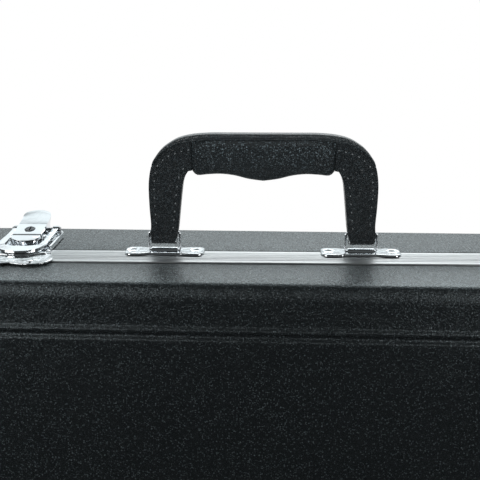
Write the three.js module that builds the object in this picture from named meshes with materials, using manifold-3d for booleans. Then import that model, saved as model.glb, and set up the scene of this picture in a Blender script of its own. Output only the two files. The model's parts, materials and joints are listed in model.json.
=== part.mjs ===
// Hard trombone case of two moulded shells, standing on its spine with the handle up.
// Millimetres, +Z up. X runs along the case, the bell end at +X. The base shell lies at +Y, the lid at -Y,
// and the parting plane between them is Y = 0. The origin is under the middle of the case, on the floor.
import * as THREE from 'three';
import { mergeVertices } from 'three/addons/utils/BufferGeometryUtils.js';
import Module from 'manifold-3d';

const wasm = await Module();
wasm.setup();

// Overall size of the shells
const caseLength = 940;
const shellHeight = 304;
const cornerRadius = 60;
const edgeRadius = 5.5;
const shellWall = 3;
const lidDepthAtHandle = 42.5;
const baseDepthAtHandle = 56.6;
const bellDepth = 100;
const bellFlatLength = 80;
const bellRampLength = 140;
const slantShare = 0.018;

// Raised bead, groove and panel that run round each face
const beadInset = 26.5;
const beadRamp = 2;
const beadWidth = 1.5;
const beadRise = 1.6;
const grooveRamp = 1.6;
const grooveWidth = 1.8;
const grooveDrop = 0.4;
const panelRamp = 1.8;

// Aluminium valances that close the two rims
const valanceWidth = 12;
const valanceProud = 0.5;
const valanceSkin = 1.2;
const valanceWeb = 1.5;
const valanceReach = 5;
const partingGap = 0.4;

// Feet under the spine
const footHeight = 8;
const footRadius = 10;
const footTaper = 1.5;
const footEndMargin = 120;
const baseFootOffset = 48;
const lidFootOffset = 32;
const bellFootOffset = 75;

// Fits
const clearance = 0.3;
const overrun = 6;

// Handle, its plates and its wire loops
const handleX = 40.7;
const handleOffset = 8.75;
const handleHalfWidth = 74.9;
const handleRise = 81.3;
const handleThickness = 8;
const strapThickness = 3.6;
const legEndRise = 8;
const gripHalfLength = 46;
const gripThickness = 19;
const gripBevel = 3;
const legBevel = 1.2;
const plateHalfSpacing = 65.9;
const plateLength = 53.5;
const plateDepth = 15.8;
const plateThickness = 1.2;
const plateCornerRadius = 5;
const bridgeLength = 17.4;
const bridgeRadius = 2.1;
const loopWireRadius = 0.8;
const loopHalfWidth = 10.4;
const loopHeight = 12.7;
const loopCornerRadius = 1.6;
const loopBoreRadius = 1.4;
const loopSlotHalfWidth = 1.6;
const loopAxisRise = 2;
const legHalfWidth = 9.15;
const legEndHalfWidth = 7.5;
const legTaperRise = 13.5;
const clipThickness = 0.6;
const clipRise = 3.5;
const clipDepth = 4.4;

// Draw latches, the first two with a key lock
const handleToLatch = 162.7;
const bellLatchShare = 0.4723;
const endLatchMargin = 110;
const keyedLatches = 2;
const panHalfWidth = 19.4;
const panStart = 0.6;
const panFlareStart = 8;
const panFlareHalfWidth = 21.5;
const panEnd = 47.8;
const panThickness = 1.2;
const panRimRise = 2.4;
const panRimWall = 1.4;
const panCornerRadius = 7.5;
const leverHalfWidth = 9.9;
const leverPivotOffset = 21.5;
const leverPivotRise = 6.2;
const knuckleRadius = 3.4;
const panelEndOffset = 34.3;
const panelSlopeShare = 0.2126;
const tabEndOffset = 54.8;
const tabRise = 17.9;
const tabCornerRadius = 6;
const leverUndersideRise = 3.2;
const latchPinRadius = 1.2;
const latchPinHeadRadius = 1.8;
const latchPinHeadLength = 0.9;
const earThickness = 1.4;
const earHalfLength = 4;
const housingEnd = 17.3;
const housingLength = 7;
const housingRise = 9.2;
const housingFrontRise = 7.3;
const haspPinOffset = 42;
const haspPinRise = 6.5;
const haspHalfWidth = 16.2;
const haspArmWidth = 4;
const haspEyeRadius = 2.5;
const haspBandStart = -5.5;
const haspBandWidth = 8.7;
const haspBandDrop = 0.9;
const haspBandShoulder = 9.5;
const haspThickness = 2.4;
const haspTopRise = 5.9;
const catchHalfWidth = 25.8;
const catchLobeOffset = 13;
const catchLobeEnd = -22.3;
const catchMiddleEnd = -19.5;
const catchSideEnd = -9.8;
const catchFarHalfWidth = 22;
const catchThickness = 1.2;
const catchRidgeRise = 3.1;
const catchRidgeHalfWidth = 19;
const catchRidgeSideEnd = -2.2;
const catchRidgeEnd = -6.3;
const lockRadius = 3.5;
const lockDepth = 4;
const lockOffset = 26.8;
const lockProud = 0.4;
const keySlotWidth = 1;
const keySlotLength = 4.4;
const keySlotDepth = 1.5;

// Spine hinges
const hingeEndMargin = 170;
const hingeLength = 60;
const hingeLeafWidth = 22;
const hingeLeafThickness = 1.2;
const hingeKnuckleRadius = 2.9;
const hingePinRadius = 1.2;
const hingeMiddleShare = 1 / 3;

// Moulded foam inserts
const insertMargin = 6.3;
const insertFaceOffset = 3;
const bellRadius = 106;
const bellLength = 560;
const bellEndMargin = 34;
const bellBottomMargin = 10;
const tubeRadius = 12;
const tuningBowRadius = 46;
const gooseneckLength = 254;
const tuningDepth = 16;
const slideEndMargin = 120;
const slideBowMargin = 80;
const slideTopMargin = 28;
const slideSpacing = 76;
const slideTubeRadius = 10;
const slideDepth = 23;
const slideBraceLength = 56;

// Accessory compartment in the base insert
const pocketEndMargin = 50;
const pocketBottomMargin = 54;
const pocketTopMargin = 70;
const pocketLength = 220;
const pocketDepth = 42;
const pocketCornerRadius = 10;
const coverLip = 6;
const coverThickness = 3;
const pullLength = 30;
const pullWidth = 12;
const pullThickness = 2;
const pullCornerShare = 0.33;

// Mouthpiece cup in the base insert
const cupFromPocket = 160;
const cupTopMargin = 62;
const cupRadius = 16;
const cupWall = 2;
const cupDepth = 40;
const cupFlangeRadius = 19;
const cupFlangeThickness = 1.5;

// Turn buttons that hold the slide in the lid
const buttonFromBow = 140;
const buttonFromEnd = 220;
const buttonLength = 92;
const buttonWidth = 16;
const buttonThickness = 3.6;
const buttonScrewRadius = 4;
const buttonScrewRise = 1;
const buttonShankRadius = 1.8;

// Fineness of round shapes
const cornerSteps = 5;
const rampSteps = 8;
const edgeSteps = 3;
const roundSteps = 12;
const finePinSteps = 8;
const curveSteps = 4;
const latchCurveSteps = 5;
const knuckleSteps = 6;
const bellSteps = 28;

// Places that follow from the sizes
const halfLength = caseLength / 2;
const halfHeight = shellHeight / 2;
const midHeight = footHeight + halfHeight;
const topZ = footHeight + shellHeight;
const bellRampEnd = halfLength - bellFlatLength;
const bellRampStart = bellRampEnd - bellRampLength;
const latchXs = [handleX - handleToLatch, halfLength * bellLatchShare, endLatchMargin - halfLength];
const hingeXs = [hingeEndMargin - halfLength, 0, halfLength - hingeEndMargin];
const bellZ = footHeight + bellBottomMargin + bellRadius;
const slideEndX = halfLength - slideEndMargin;
const slideBowX = slideBowMargin - halfLength;
const slideUpperZ = topZ - slideTopMargin;
const slideLowerZ = slideUpperZ - slideSpacing;
const buttonXs = [slideBowX + buttonFromBow, slideEndX - buttonFromEnd];
const pocketX = pocketEndMargin + pocketLength / 2 - halfLength;
const pocketHeight = shellHeight - pocketBottomMargin - pocketTopMargin;
const pocketZ = footHeight + pocketBottomMargin + pocketHeight / 2;
const cupX = pocketX + pocketLength / 2 + cupFromPocket;
const cupZ = topZ - cupTopMargin;
const beadTop = beadInset + beadRamp;
const beadEnd = beadTop + beadWidth;
const grooveStart = beadEnd + grooveRamp;
const grooveEnd = grooveStart + grooveWidth;
const panelInset = grooveEnd + panelRamp;
const rimInset = valanceSkin - valanceProud + clearance;
const rimStart = partingGap / 2 + valanceWeb + clearance;
const fittingBottom = valanceProud + clearance;

// Materials
const colours = {
  shell: [0x24282a, 0.55, 0],
  valance: [0xd8dadb, 0.35, 1],
  chrome: [0xe6e8ea, 0.15, 1],
  leather: [0x1c1f20, 0.6, 0],
  plush: [0x2a2d33, 0.95, 0],
  rubber: [0x151617, 0.85, 0],
  steel: [0xa9adb0, 0.35, 1],
  plastic: [0x1a1b1c, 0.45, 0],
};

function material(kind) {
  const [color, roughness, metalness] = colours[kind];
  return new THREE.MeshStandardMaterial({ color, roughness, metalness });
}

const trombone_case = new THREE.Group();

function add(name, geometry, kind, parent = trombone_case) {
  const mesh = new THREE.Mesh(geometry, material(kind));
  mesh.name = name;
  parent.add(mesh);
  return mesh;
}

// Geometry helpers
function bare(geometry) {
  const copy = geometry.clone();
  for (const name of Object.keys(copy.attributes)) {
    if (name !== 'position') {
      copy.deleteAttribute(name);
    }
  }
  return mergeVertices(copy);
}

function signedVolume(geometry) {
  const position = geometry.getAttribute('position');
  const index = geometry.index;
  const a = new THREE.Vector3();
  const b = new THREE.Vector3();
  const c = new THREE.Vector3();
  let volume = 0;
  for (let i = 0; i < index.count; i += 3) {
    a.fromBufferAttribute(position, index.getX(i));
    b.fromBufferAttribute(position, index.getX(i + 1));
    c.fromBufferAttribute(position, index.getX(i + 2));
    volume += a.dot(b.cross(c));
  }
  return volume;
}

function facingOut(geometry) {
  if (signedVolume(geometry) < 0) {
    const index = geometry.index.array;
    for (let i = 0; i < index.length; i += 3) {
      [index[i + 1], index[i + 2]] = [index[i + 2], index[i + 1]];
    }
  }
  return geometry;
}

function meshOf(positions, indices) {
  const geometry = new THREE.BufferGeometry();
  geometry.setAttribute('position', new THREE.Float32BufferAttribute(positions, 3));
  geometry.setIndex(indices);
  return facingOut(geometry);
}

function solid(geometry) {
  const clean = facingOut(bare(geometry));
  const vertProperties = new Float32Array(clean.getAttribute('position').array);
  const triVerts = new Uint32Array(clean.index.array);
  return new wasm.Manifold(new wasm.Mesh({ numProp: 3, vertProperties, triVerts }));
}

function geometryOf(manifold) {
  const mesh = manifold.getMesh();
  const positions = [];
  for (let i = 0; i < mesh.vertProperties.length; i += mesh.numProp) {
    positions.push(mesh.vertProperties[i], mesh.vertProperties[i + 1], mesh.vertProperties[i + 2]);
  }
  return meshOf(positions, Array.from(mesh.triVerts));
}

function cut(geometry, ...tools) {
  let result = solid(geometry);
  for (const tool of tools) {
    result = result.subtract(solid(tool));
  }
  return geometryOf(result);
}

function join(...geometries) {
  let result = solid(geometries[0]);
  for (const geometry of geometries.slice(1)) {
    result = result.add(solid(geometry));
  }
  return geometryOf(result);
}

function common(first, second) {
  return geometryOf(solid(first).intersect(solid(second)));
}

function box(fromX, toX, fromY, toY, fromZ, toZ) {
  const geometry = new THREE.BoxGeometry(toX - fromX, toY - fromY, toZ - fromZ);
  geometry.translate((fromX + toX) / 2, (fromY + toY) / 2, (fromZ + toZ) / 2);
  return geometry;
}

// A round bar along X, from x = fromX to x = toX
function barX(radius, fromX, toX, y, z, steps = finePinSteps) {
  const geometry = new THREE.CylinderGeometry(radius, radius, toX - fromX, steps);
  geometry.rotateZ(Math.PI / 2);
  geometry.translate((fromX + toX) / 2, y, z);
  return geometry;
}

function barZ(radius, x, y, fromZ, toZ, steps = roundSteps) {
  const geometry = new THREE.CylinderGeometry(radius, radius, toZ - fromZ, steps);
  geometry.rotateX(Math.PI / 2);
  geometry.translate(x, y, (fromZ + toZ) / 2);
  return geometry;
}

function polygon(points) {
  return new THREE.Shape(points.map(([x, y]) => new THREE.Vector2(x, y)));
}

// An outline in X and Z, thick from y = fromY to y = toY
function slabY(shape, fromY, toY, curveSegments = curveSteps) {
  const geometry = new THREE.ExtrudeGeometry(shape, { depth: toY - fromY, bevelEnabled: false, curveSegments });
  geometry.rotateX(Math.PI / 2);
  geometry.translate(0, toY, 0);
  return geometry;
}

// An outline in X and Y, thick from z = fromZ to z = toZ
function slabZ(shape, fromZ, toZ, curveSegments = curveSteps) {
  const geometry = new THREE.ExtrudeGeometry(shape, { depth: toZ - fromZ, bevelEnabled: false, curveSegments });
  geometry.translate(0, 0, fromZ);
  return geometry;
}

// An outline in Y and Z, thick from x = fromX to x = toX
function slabX(shape, fromX, toX, curveSegments = curveSteps) {
  const geometry = new THREE.ExtrudeGeometry(shape, { depth: toX - fromX, bevelEnabled: false, curveSegments });
  geometry.rotateZ(Math.PI / 2);
  geometry.rotateY(Math.PI / 2);
  geometry.translate(fromX, 0, 0);
  return geometry;
}

function roundedRectangle(fromX, toX, fromY, toY, radius) {
  const shape = new THREE.Shape();
  shape.moveTo(fromX + radius, fromY);
  shape.lineTo(toX - radius, fromY);
  shape.absarc(toX - radius, fromY + radius, radius, -Math.PI / 2, 0);
  shape.lineTo(toX, toY - radius);
  shape.absarc(toX - radius, toY - radius, radius, 0, Math.PI / 2);
  shape.lineTo(fromX + radius, toY);
  shape.absarc(fromX + radius, toY - radius, radius, Math.PI / 2, Math.PI);
  shape.lineTo(fromX, fromY + radius);
  shape.absarc(fromX + radius, fromY + radius, radius, Math.PI, Math.PI * 1.5);
  return shape;
}

// Outline of the case in X and Z at an inset, its upper half from left to right
const rampXs = [];
for (let step = 0; step <= rampSteps; step += 1) {
  rampXs.push(bellRampStart + (bellRampEnd - bellRampStart) * (step / rampSteps));
}

function upperOutline(inset) {
  const radius = cornerRadius - inset;
  const centreX = halfLength - cornerRadius;
  const centreZ = halfHeight - cornerRadius;
  const points = [];
  for (let step = 0; step <= cornerSteps; step += 1) {
    const angle = Math.PI * (1 - step / cornerSteps / 2);
    points.push([-centreX + radius * Math.cos(angle), centreZ + radius * Math.sin(angle)]);
  }
  for (const x of rampXs) {
    points.push([x, centreZ + radius]);
  }
  for (let step = 0; step <= cornerSteps; step += 1) {
    const angle = (Math.PI / 2) * (1 - step / cornerSteps);
    points.push([centreX + radius * Math.cos(angle), centreZ + radius * Math.sin(angle)]);
  }
  return points;
}

function outlineLoop(inset) {
  const upper = upperOutline(inset);
  const lower = upper.map(([x, z]) => [x, -z]).reverse();
  return [...upper, ...lower];
}

// A loft through rings at insets from the outline. A ring's y is a function of x.
function loft(rings, closed) {
  const positions = [];
  const indices = [];
  const count = outlineLoop(0).length;
  for (const ring of rings) {
    for (const [x, z] of outlineLoop(ring.inset)) {
      positions.push(x, ring.y(x), midHeight + z);
    }
  }
  const quad = (a, b, c, d) => indices.push(a, b, c, a, c, d);
  const last = closed ? rings.length : rings.length - 1;
  for (let r = 0; r < last; r += 1) {
    const here = r * count;
    const next = ((r + 1) % rings.length) * count;
    for (let i = 0; i < count; i += 1) {
      const j = (i + 1) % count;
      quad(here + i, here + j, next + j, next + i);
    }
  }
  if (!closed) {
    const end = (rings.length - 1) * count;
    for (let i = 0; i < count / 2 - 1; i += 1) {
      const across = count - 1 - i;
      quad(i, across, across - 1, i + 1);
      quad(end + i, end + i + 1, end + across - 1, end + across);
    }
  }
  return meshOf(positions, indices);
}

// Depth of each shell past its valance, at x along the case
function bellRamp(x) {
  const t = Math.min(1, Math.max(0, (x - bellRampStart) / (bellRampEnd - bellRampStart)));
  return t * t * (3 - 2 * t);
}

function lidDepth(x) {
  const plain = lidDepthAtHandle + slantShare * (x - handleX);
  return plain + (bellDepth - plain) * bellRamp(x);
}

function baseDepth(x) {
  const plain = baseDepthAtHandle - slantShare * (x - handleX);
  return plain + (bellDepth - plain) * bellRamp(x);
}

// A moulded shell, open towards the parting plane; side is 1 for the base and -1 for the lid
function shellGeometry(side, depth) {
  const face = (rise) => (x) => side * (valanceWidth + depth(x) + rise);
  const level = (offset) => () => side * offset;
  const rings = [
    { inset: panelInset, y: face(beadRise) },
    { inset: grooveEnd, y: face(-grooveDrop) },
    { inset: grooveStart, y: face(-grooveDrop) },
    { inset: beadEnd, y: face(beadRise) },
    { inset: beadTop, y: face(beadRise) },
    { inset: beadInset, y: face(0) },
  ];
  for (let step = 0; step <= edgeSteps; step += 1) {
    const angle = (Math.PI / 2) * (step / edgeSteps);
    const inset = edgeRadius * (1 - Math.sin(angle));
    rings.push({ inset, y: face(-edgeRadius * (1 - Math.cos(angle))) });
  }
  rings.push({ inset: 0, y: level(valanceWidth + clearance) });
  rings.push({ inset: rimInset, y: level(valanceWidth + clearance) });
  rings.push({ inset: rimInset, y: level(rimStart) });
  rings.push({ inset: shellWall, y: level(rimStart) });
  rings.push({ inset: shellWall, y: face(-edgeRadius) });
  rings.push({ inset: edgeRadius, y: face(-shellWall) });
  return loft(rings, false);
}

add('base_shell', shellGeometry(1, baseDepth), 'shell');
add('lid_shell', shellGeometry(-1, lidDepth), 'shell');

// The valance is an angle section bent round the rim: a skin outside and a web in the parting plane
function valanceGeometry(side) {
  const webFace = partingGap / 2;
  const profile = [
    [-valanceProud, webFace],
    [-valanceProud, valanceWidth],
    [valanceSkin - valanceProud, valanceWidth],
    [valanceSkin - valanceProud, webFace + valanceWeb],
    [valanceReach, webFace + valanceWeb],
    [valanceReach, webFace],
  ];
  return loft(profile.map(([inset, offset]) => ({ inset, y: () => side * offset })), true);
}

add('base_valance', valanceGeometry(1), 'valance');
add('lid_valance', valanceGeometry(-1), 'valance');

// Space for the bell: a flare on the parting plane, opening towards the bell end
const bellProfileShares = [
  [0, 1], [0.03, 0.78], [0.06, 0.6], [0.12, 0.43], [0.22, 0.3], [0.45, 0.2], [1, 0.12],
];

function bellSpace() {
  const points = [new THREE.Vector2(0, 0)];
  for (const [alongShare, radiusShare] of bellProfileShares) {
    points.push(new THREE.Vector2(bellRadius * radiusShare, bellLength * alongShare));
  }
  points.push(new THREE.Vector2(0, bellLength));
  const geometry = new THREE.LatheGeometry(points, bellSteps);
  geometry.rotateZ(Math.PI / 2);
  geometry.translate(halfLength - bellEndMargin, 0, bellZ);
  return geometry;
}

// A channel for two tubes joined by a bow at the left; side walls are a tube radius off the centre lines
function bowChannel(bowX, upperZ, lowerZ, radius, upperEndX, lowerEndX) {
  const centreZ = (upperZ + lowerZ) / 2;
  const bowRadius = (upperZ - lowerZ) / 2;
  const shape = new THREE.Shape();
  shape.moveTo(upperEndX, upperZ + radius);
  shape.lineTo(bowX, upperZ + radius);
  shape.absarc(bowX, centreZ, bowRadius + radius, Math.PI / 2, Math.PI * 1.5);
  shape.lineTo(lowerEndX, lowerZ - radius);
  shape.lineTo(lowerEndX, lowerZ + radius);
  shape.lineTo(bowX, lowerZ + radius);
  shape.absarc(bowX, centreZ, bowRadius - radius, Math.PI * 1.5, Math.PI / 2, true);
  shape.lineTo(upperEndX, upperZ - radius);
  return shape;
}

const bellThroatX = halfLength - bellEndMargin - bellLength;
const gooseneckZ = bellZ - 2 * tuningBowRadius;
const tuningShape = bowChannel(
  bellThroatX, bellZ, gooseneckZ, tubeRadius, bellThroatX + tubeRadius, bellThroatX + gooseneckLength,
);
const tuningSpace = slabY(tuningShape, -tuningDepth, tuningDepth, finePinSteps);

const slideShape = bowChannel(slideBowX, slideUpperZ, slideLowerZ, slideTubeRadius, slideEndX, slideEndX);
const slideFloor = -insertFaceOffset - slideDepth;
const slideSpace = slabY(slideShape, slideFloor, overrun, finePinSteps);
const braceSpace = box(
  slideEndX - slideBraceLength, slideEndX, slideFloor, overrun,
  slideLowerZ - slideTubeRadius, slideUpperZ + slideTubeRadius,
);

// Foam insert that fills a shell up to just short of the parting plane
function insertGeometry(side, depth) {
  return loft([
    { inset: insertMargin, y: () => side * insertFaceOffset },
    { inset: insertMargin, y: (x) => side * (valanceWidth + depth(x) - shellWall - clearance) },
  ], false);
}

const pocketFloor = insertFaceOffset + pocketDepth;
const coverSeat = insertFaceOffset + coverThickness + clearance;
const pocketSpace = slabY(roundedRectangle(
  pocketX - pocketLength / 2, pocketX + pocketLength / 2,
  pocketZ - pocketHeight / 2, pocketZ + pocketHeight / 2, pocketCornerRadius,
), -overrun, pocketFloor);
const coverSpace = slabY(roundedRectangle(
  pocketX - pocketLength / 2 - coverLip - clearance, pocketX + pocketLength / 2 + coverLip + clearance,
  pocketZ - pocketHeight / 2 - coverLip - clearance, pocketZ + pocketHeight / 2 + coverLip + clearance,
  pocketCornerRadius + clearance,
), -overrun, coverSeat);

function barY(radius, x, z, fromY, toY, steps = roundSteps) {
  const geometry = new THREE.CylinderGeometry(radius, radius, toY - fromY, steps);
  geometry.translate(x, (fromY + toY) / 2, z);
  return geometry;
}

const cupFace = insertFaceOffset + cupFlangeThickness + clearance;
const cupSpace = barY(cupRadius + clearance, cupX, cupZ, -overrun, cupFace + cupDepth + clearance);
const cupFlangeSpace = barY(cupFlangeRadius + clearance, cupX, cupZ, -overrun, cupFace);

add('base_insert', cut(
  insertGeometry(1, baseDepth), bellSpace(), tuningSpace, pocketSpace, coverSpace, cupSpace, cupFlangeSpace,
), 'plush');
add('lid_insert', cut(
  insertGeometry(-1, lidDepth), bellSpace(), tuningSpace, slideSpace, braceSpace,
), 'plush');

// Cover of the accessory compartment, hinged along its lower edge, with a leather pull
const coverBottom = pocketZ - pocketHeight / 2 - coverLip;
const coverTop = pocketZ + pocketHeight / 2 + coverLip;
add('compartment_cover', slabY(roundedRectangle(
  pocketX - pocketLength / 2 - coverLip, pocketX + pocketLength / 2 + coverLip,
  coverBottom, coverTop, pocketCornerRadius,
), insertFaceOffset, insertFaceOffset + coverThickness), 'plush');
add('compartment_pull', slabY(roundedRectangle(
  pocketX - pullWidth / 2, pocketX + pullWidth / 2,
  coverTop - coverLip - pullLength, coverTop - coverLip, pullWidth * pullCornerShare,
), insertFaceOffset - clearance - pullThickness, insertFaceOffset - clearance), 'leather');

// Mouthpiece cup: a flanged round cup let into the base insert
const cupProfile = [
  [0, 0], [cupRadius, 0], [cupRadius, cupDepth], [cupFlangeRadius, cupDepth],
  [cupFlangeRadius, cupDepth + cupFlangeThickness], [cupRadius - cupWall, cupDepth + cupFlangeThickness],
  [cupRadius - cupWall, cupWall], [0, cupWall],
];
const cupGeometry = new THREE.LatheGeometry(cupProfile.map(([r, h]) => new THREE.Vector2(r, h)), roundSteps);
cupGeometry.rotateX(Math.PI);
cupGeometry.translate(cupX, cupFace - clearance + cupDepth, cupZ);
add('mouthpiece_cup', bare(cupGeometry), 'plastic');

// Turn buttons across the two slide tubes, each on one screw
const buttonZ = (slideUpperZ + slideLowerZ) / 2;
const buttonBack = -insertFaceOffset + clearance;
buttonXs.forEach((x, index) => {
  const bar = slabY(roundedRectangle(
    x - buttonWidth / 2, x + buttonWidth / 2,
    buttonZ - buttonLength / 2, buttonZ + buttonLength / 2, buttonWidth / 2,
  ), buttonBack, buttonBack + buttonThickness);
  add(`slide_button_${index + 1}`, cut(bar, barY(
    buttonShankRadius + clearance, x, buttonZ, buttonBack - overrun, buttonBack + overrun, finePinSteps,
  )), 'plastic');
  const headStart = buttonBack + buttonThickness + clearance;
  add(`slide_button_screw_${index + 1}`, join(
    barY(buttonScrewRadius, x, buttonZ, headStart, headStart + buttonScrewRise),
    barY(buttonShankRadius, x, buttonZ, buttonBack, headStart + buttonScrewRise / 2, finePinSteps),
  ), 'chrome');
});

// Handle. Its own frame has X = 0 in its middle, Y = 0 in its plane and Z = 0 on the top of the shells.
const handleGroup = new THREE.Group();
handleGroup.position.set(handleX, handleOffset, topZ);
trombone_case.add(handleGroup);

// Right half of the outer edge, from the top middle down to the end of the leg. The strap ends at a corner of it.
const strapEndIndex = 7;
const outerEdgeShares = [
  [0, 1], [0.47, 1], [0.62, 0.987], [0.738, 0.959], [0.825, 0.914], [0.88, 0.874], [0.93, 0.817],
  [0.968, 0.745], [0.99, 0.66], [1, 0.56], [0.998, 0.4], [0.991, 0.25],
];
const innerLegShares = [
  [0.744, 0.25], [0.726, 0.4], [0.708, 0.54], [0.696, 0.61], [0.677, 0.66], [0.65, 0.7],
];
const gripUndersideShares = [
  [0.617, 0.7], [0.572, 0.667], [0.48, 0.675], [0.371, 0.68], [0.25, 0.668], [0.128, 0.64], [0, 0.624],
];
const outerEdge = outerEdgeShares.map(([x, z]) => [handleHalfWidth * x, handleRise * z]);
outerEdge.push([plateHalfSpacing + legHalfWidth, legTaperRise]);
outerEdge.push([plateHalfSpacing + legEndHalfWidth, legEndRise]);
const innerLegEdge = innerLegShares.map(([x, z]) => [handleHalfWidth * x, handleRise * z]);
innerLegEdge.unshift([plateHalfSpacing - legHalfWidth, legTaperRise]);
innerLegEdge.unshift([plateHalfSpacing - legEndHalfWidth, legEndRise]);

// The same edge moved inwards by a distance, along its own normals
function insetEdge(edge, distance) {
  return edge.map(([x, z], i) => {
    const before = edge[Math.max(i - 1, 0)];
    const after = edge[Math.min(i + 1, edge.length - 1)];
    const alongX = after[0] - before[0];
    const alongZ = after[1] - before[1];
    const length = Math.hypot(alongX, alongZ);
    return [x + (distance * alongZ) / length, z - (distance * alongX) / length];
  });
}

const strapOuter = outerEdge.slice(0, strapEndIndex + 1);
const strapInner = insetEdge(outerEdge, strapThickness).slice(0, strapEndIndex + 1);
const mirrored = (points) => points.map(([x, z]) => [-x, z]).reverse();

function bevelledY(shape, thickness, bevel) {
  const geometry = new THREE.ExtrudeGeometry(shape, {
    depth: thickness - 2 * bevel,
    bevelThickness: bevel,
    bevelSize: bevel,
    bevelOffset: -bevel,
    bevelSegments: 1,
  });
  geometry.rotateX(Math.PI / 2);
  geometry.translate(0, thickness / 2 - bevel, 0);
  return geometry;
}

// Strap over the top, from shoulder to shoulder
const strapPoints = [
  ...mirrored(strapOuter).slice(0, -1), ...strapOuter,
  ...strapInner.slice(1).reverse(), ...mirrored(strapInner).reverse(),
];
const strapOutline = strapPoints.filter(([x, z], i) => {
  const next = strapPoints[(i + 1) % strapPoints.length];
  return Math.hypot(next[0] - x, next[1] - z) > clearance;
});
add('handle_strap', bevelledY(polygon(strapOutline), handleThickness, legBevel), 'leather', handleGroup);

// Legs from the seam beside the grip, round the shoulder and down, bored for the wire loops
const padOuter = insetEdge(outerEdge, strapThickness + clearance);
const legStart = gripHalfLength + clearance;
const seamMargin = strapThickness / 3;

// Height of an edge that runs outwards, at x
function heightAt(edge, x) {
  const i = edge.findIndex((point) => point[0] > x);
  const [x0, z0] = edge[i - 1];
  const [x1, z1] = edge[i];
  return z0 + ((z1 - z0) * (x - x0)) / (x1 - x0);
}

// The point of an edge a short way past one of its corners
function pastCorner(edge, i, distance) {
  const [x0, z0] = edge[i];
  const [x1, z1] = edge[i + 1];
  const length = Math.hypot(x1 - x0, z1 - z0);
  return [x0 + ((x1 - x0) * distance) / length, z0 + ((z1 - z0) * distance) / length];
}

const legOuter = padOuter.slice(0, strapEndIndex).filter(([x]) => x > legStart + seamMargin);
const legPoints = [
  [legStart, heightAt(padOuter, legStart)], ...legOuter,
  pastCorner(padOuter, strapEndIndex, clearance), pastCorner(outerEdge, strapEndIndex, clearance),
  ...outerEdge.slice(strapEndIndex + 1), ...innerLegEdge, [legStart, innerLegEdge.at(-1)[1]],
];
const loopPivotRise = loopAxisRise + loopHeight;
const legSolid = bevelledY(polygon(legPoints), handleThickness, legBevel);
const legBore = barX(
  loopBoreRadius, plateHalfSpacing - loopHalfWidth, plateHalfSpacing + loopHalfWidth, 0, loopPivotRise,
);
const legRight = cut(legSolid, legBore);
const legLeft = facingOut(legRight.clone().scale(-1, 1, 1));
add('handle_leg_left', legLeft, 'leather', handleGroup);
add('handle_leg_right', legRight, 'leather', handleGroup);

// Padded grip between the legs
const gripTop = padOuter.filter(([x]) => x < gripHalfLength - seamMargin);
const gripUnder = gripUndersideShares.map(([x, z]) => [handleHalfWidth * x, handleRise * z]);
const gripRight = [...gripTop, [gripHalfLength, heightAt(padOuter, gripHalfLength)], ...gripUnder];
const gripLeft = mirrored(gripRight).slice(1, -1);
const gripSolid = bevelledY(polygon([...gripRight, ...gripLeft]), gripThickness, gripBevel);
add('handle_grip', gripSolid, 'leather', handleGroup);

// Wire loops: closed rounded rectangles through the leg and under the bridge
function wireLoop() {
  const path = [];
  const corner = (cx, cz, start) => {
    for (let step = 0; step <= 2; step += 1) {
      const angle = start + (Math.PI / 4) * step;
      path.push([cx + loopCornerRadius * Math.cos(angle), cz + loopCornerRadius * Math.sin(angle)]);
    }
  };
  const reachX = loopHalfWidth - loopCornerRadius;
  corner(reachX, loopHeight - loopCornerRadius, 0);
  corner(-reachX, loopHeight - loopCornerRadius, Math.PI / 2);
  corner(-reachX, loopCornerRadius, Math.PI);
  corner(reachX, loopCornerRadius, Math.PI * 1.5);
  const positions = [];
  const indices = [];
  path.forEach(([x, z], i) => {
    const before = path[(i + path.length - 1) % path.length];
    const after = path[(i + 1) % path.length];
    const along = new THREE.Vector2(after[0] - before[0], after[1] - before[1]).normalize();
    for (let side = 0; side < finePinSteps; side += 1) {
      const angle = (2 * Math.PI * side) / finePinSteps;
      const out = loopWireRadius * Math.cos(angle);
      positions.push(x + out * along.y, loopWireRadius * Math.sin(angle), z - out * along.x);
      const nextSide = (side + 1) % finePinSteps;
      const next = (i + 1) % path.length;
      const a = i * finePinSteps + side;
      const b = i * finePinSteps + nextSide;
      const c = next * finePinSteps + nextSide;
      const d = next * finePinSteps + side;
      indices.push(a, b, c, a, c, d);
    }
  });
  return meshOf(positions, indices);
}

// Stamped plate with a raised bridge over the loop, open below
function handlePlate() {
  const bottom = fittingBottom;
  const plate = slabZ(roundedRectangle(
    -plateLength / 2, plateLength / 2, -plateDepth / 2, plateDepth / 2, plateCornerRadius,
  ), bottom, bottom + plateThickness);
  const hump = barX(bridgeRadius, -bridgeLength / 2, bridgeLength / 2, 0, loopAxisRise, roundSteps);
  const bore = loopWireRadius + clearance;
  const below = box(-plateLength, plateLength, -plateDepth, plateDepth, bottom - bridgeRadius, bottom);
  const groove = box(-loopHalfWidth - bore, loopHalfWidth + bore, -bore, bore, bottom - overrun, loopAxisRise);
  const tunnel = barX(bore, -loopHalfWidth - bore, loopHalfWidth + bore, 0, loopAxisRise, roundSteps);
  const shoulder = (side) => box(
    side * (bridgeLength / 2 + clearance) - (side < 0 ? overrun : 0),
    side * (bridgeLength / 2 + clearance) + (side > 0 ? overrun : 0),
    -loopSlotHalfWidth, loopSlotHalfWidth, bottom - overrun, loopAxisRise + bridgeRadius + overrun,
  );
  return cut(join(plate, hump), below, groove, tunnel, shoulder(1), shoulder(-1));
}

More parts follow.
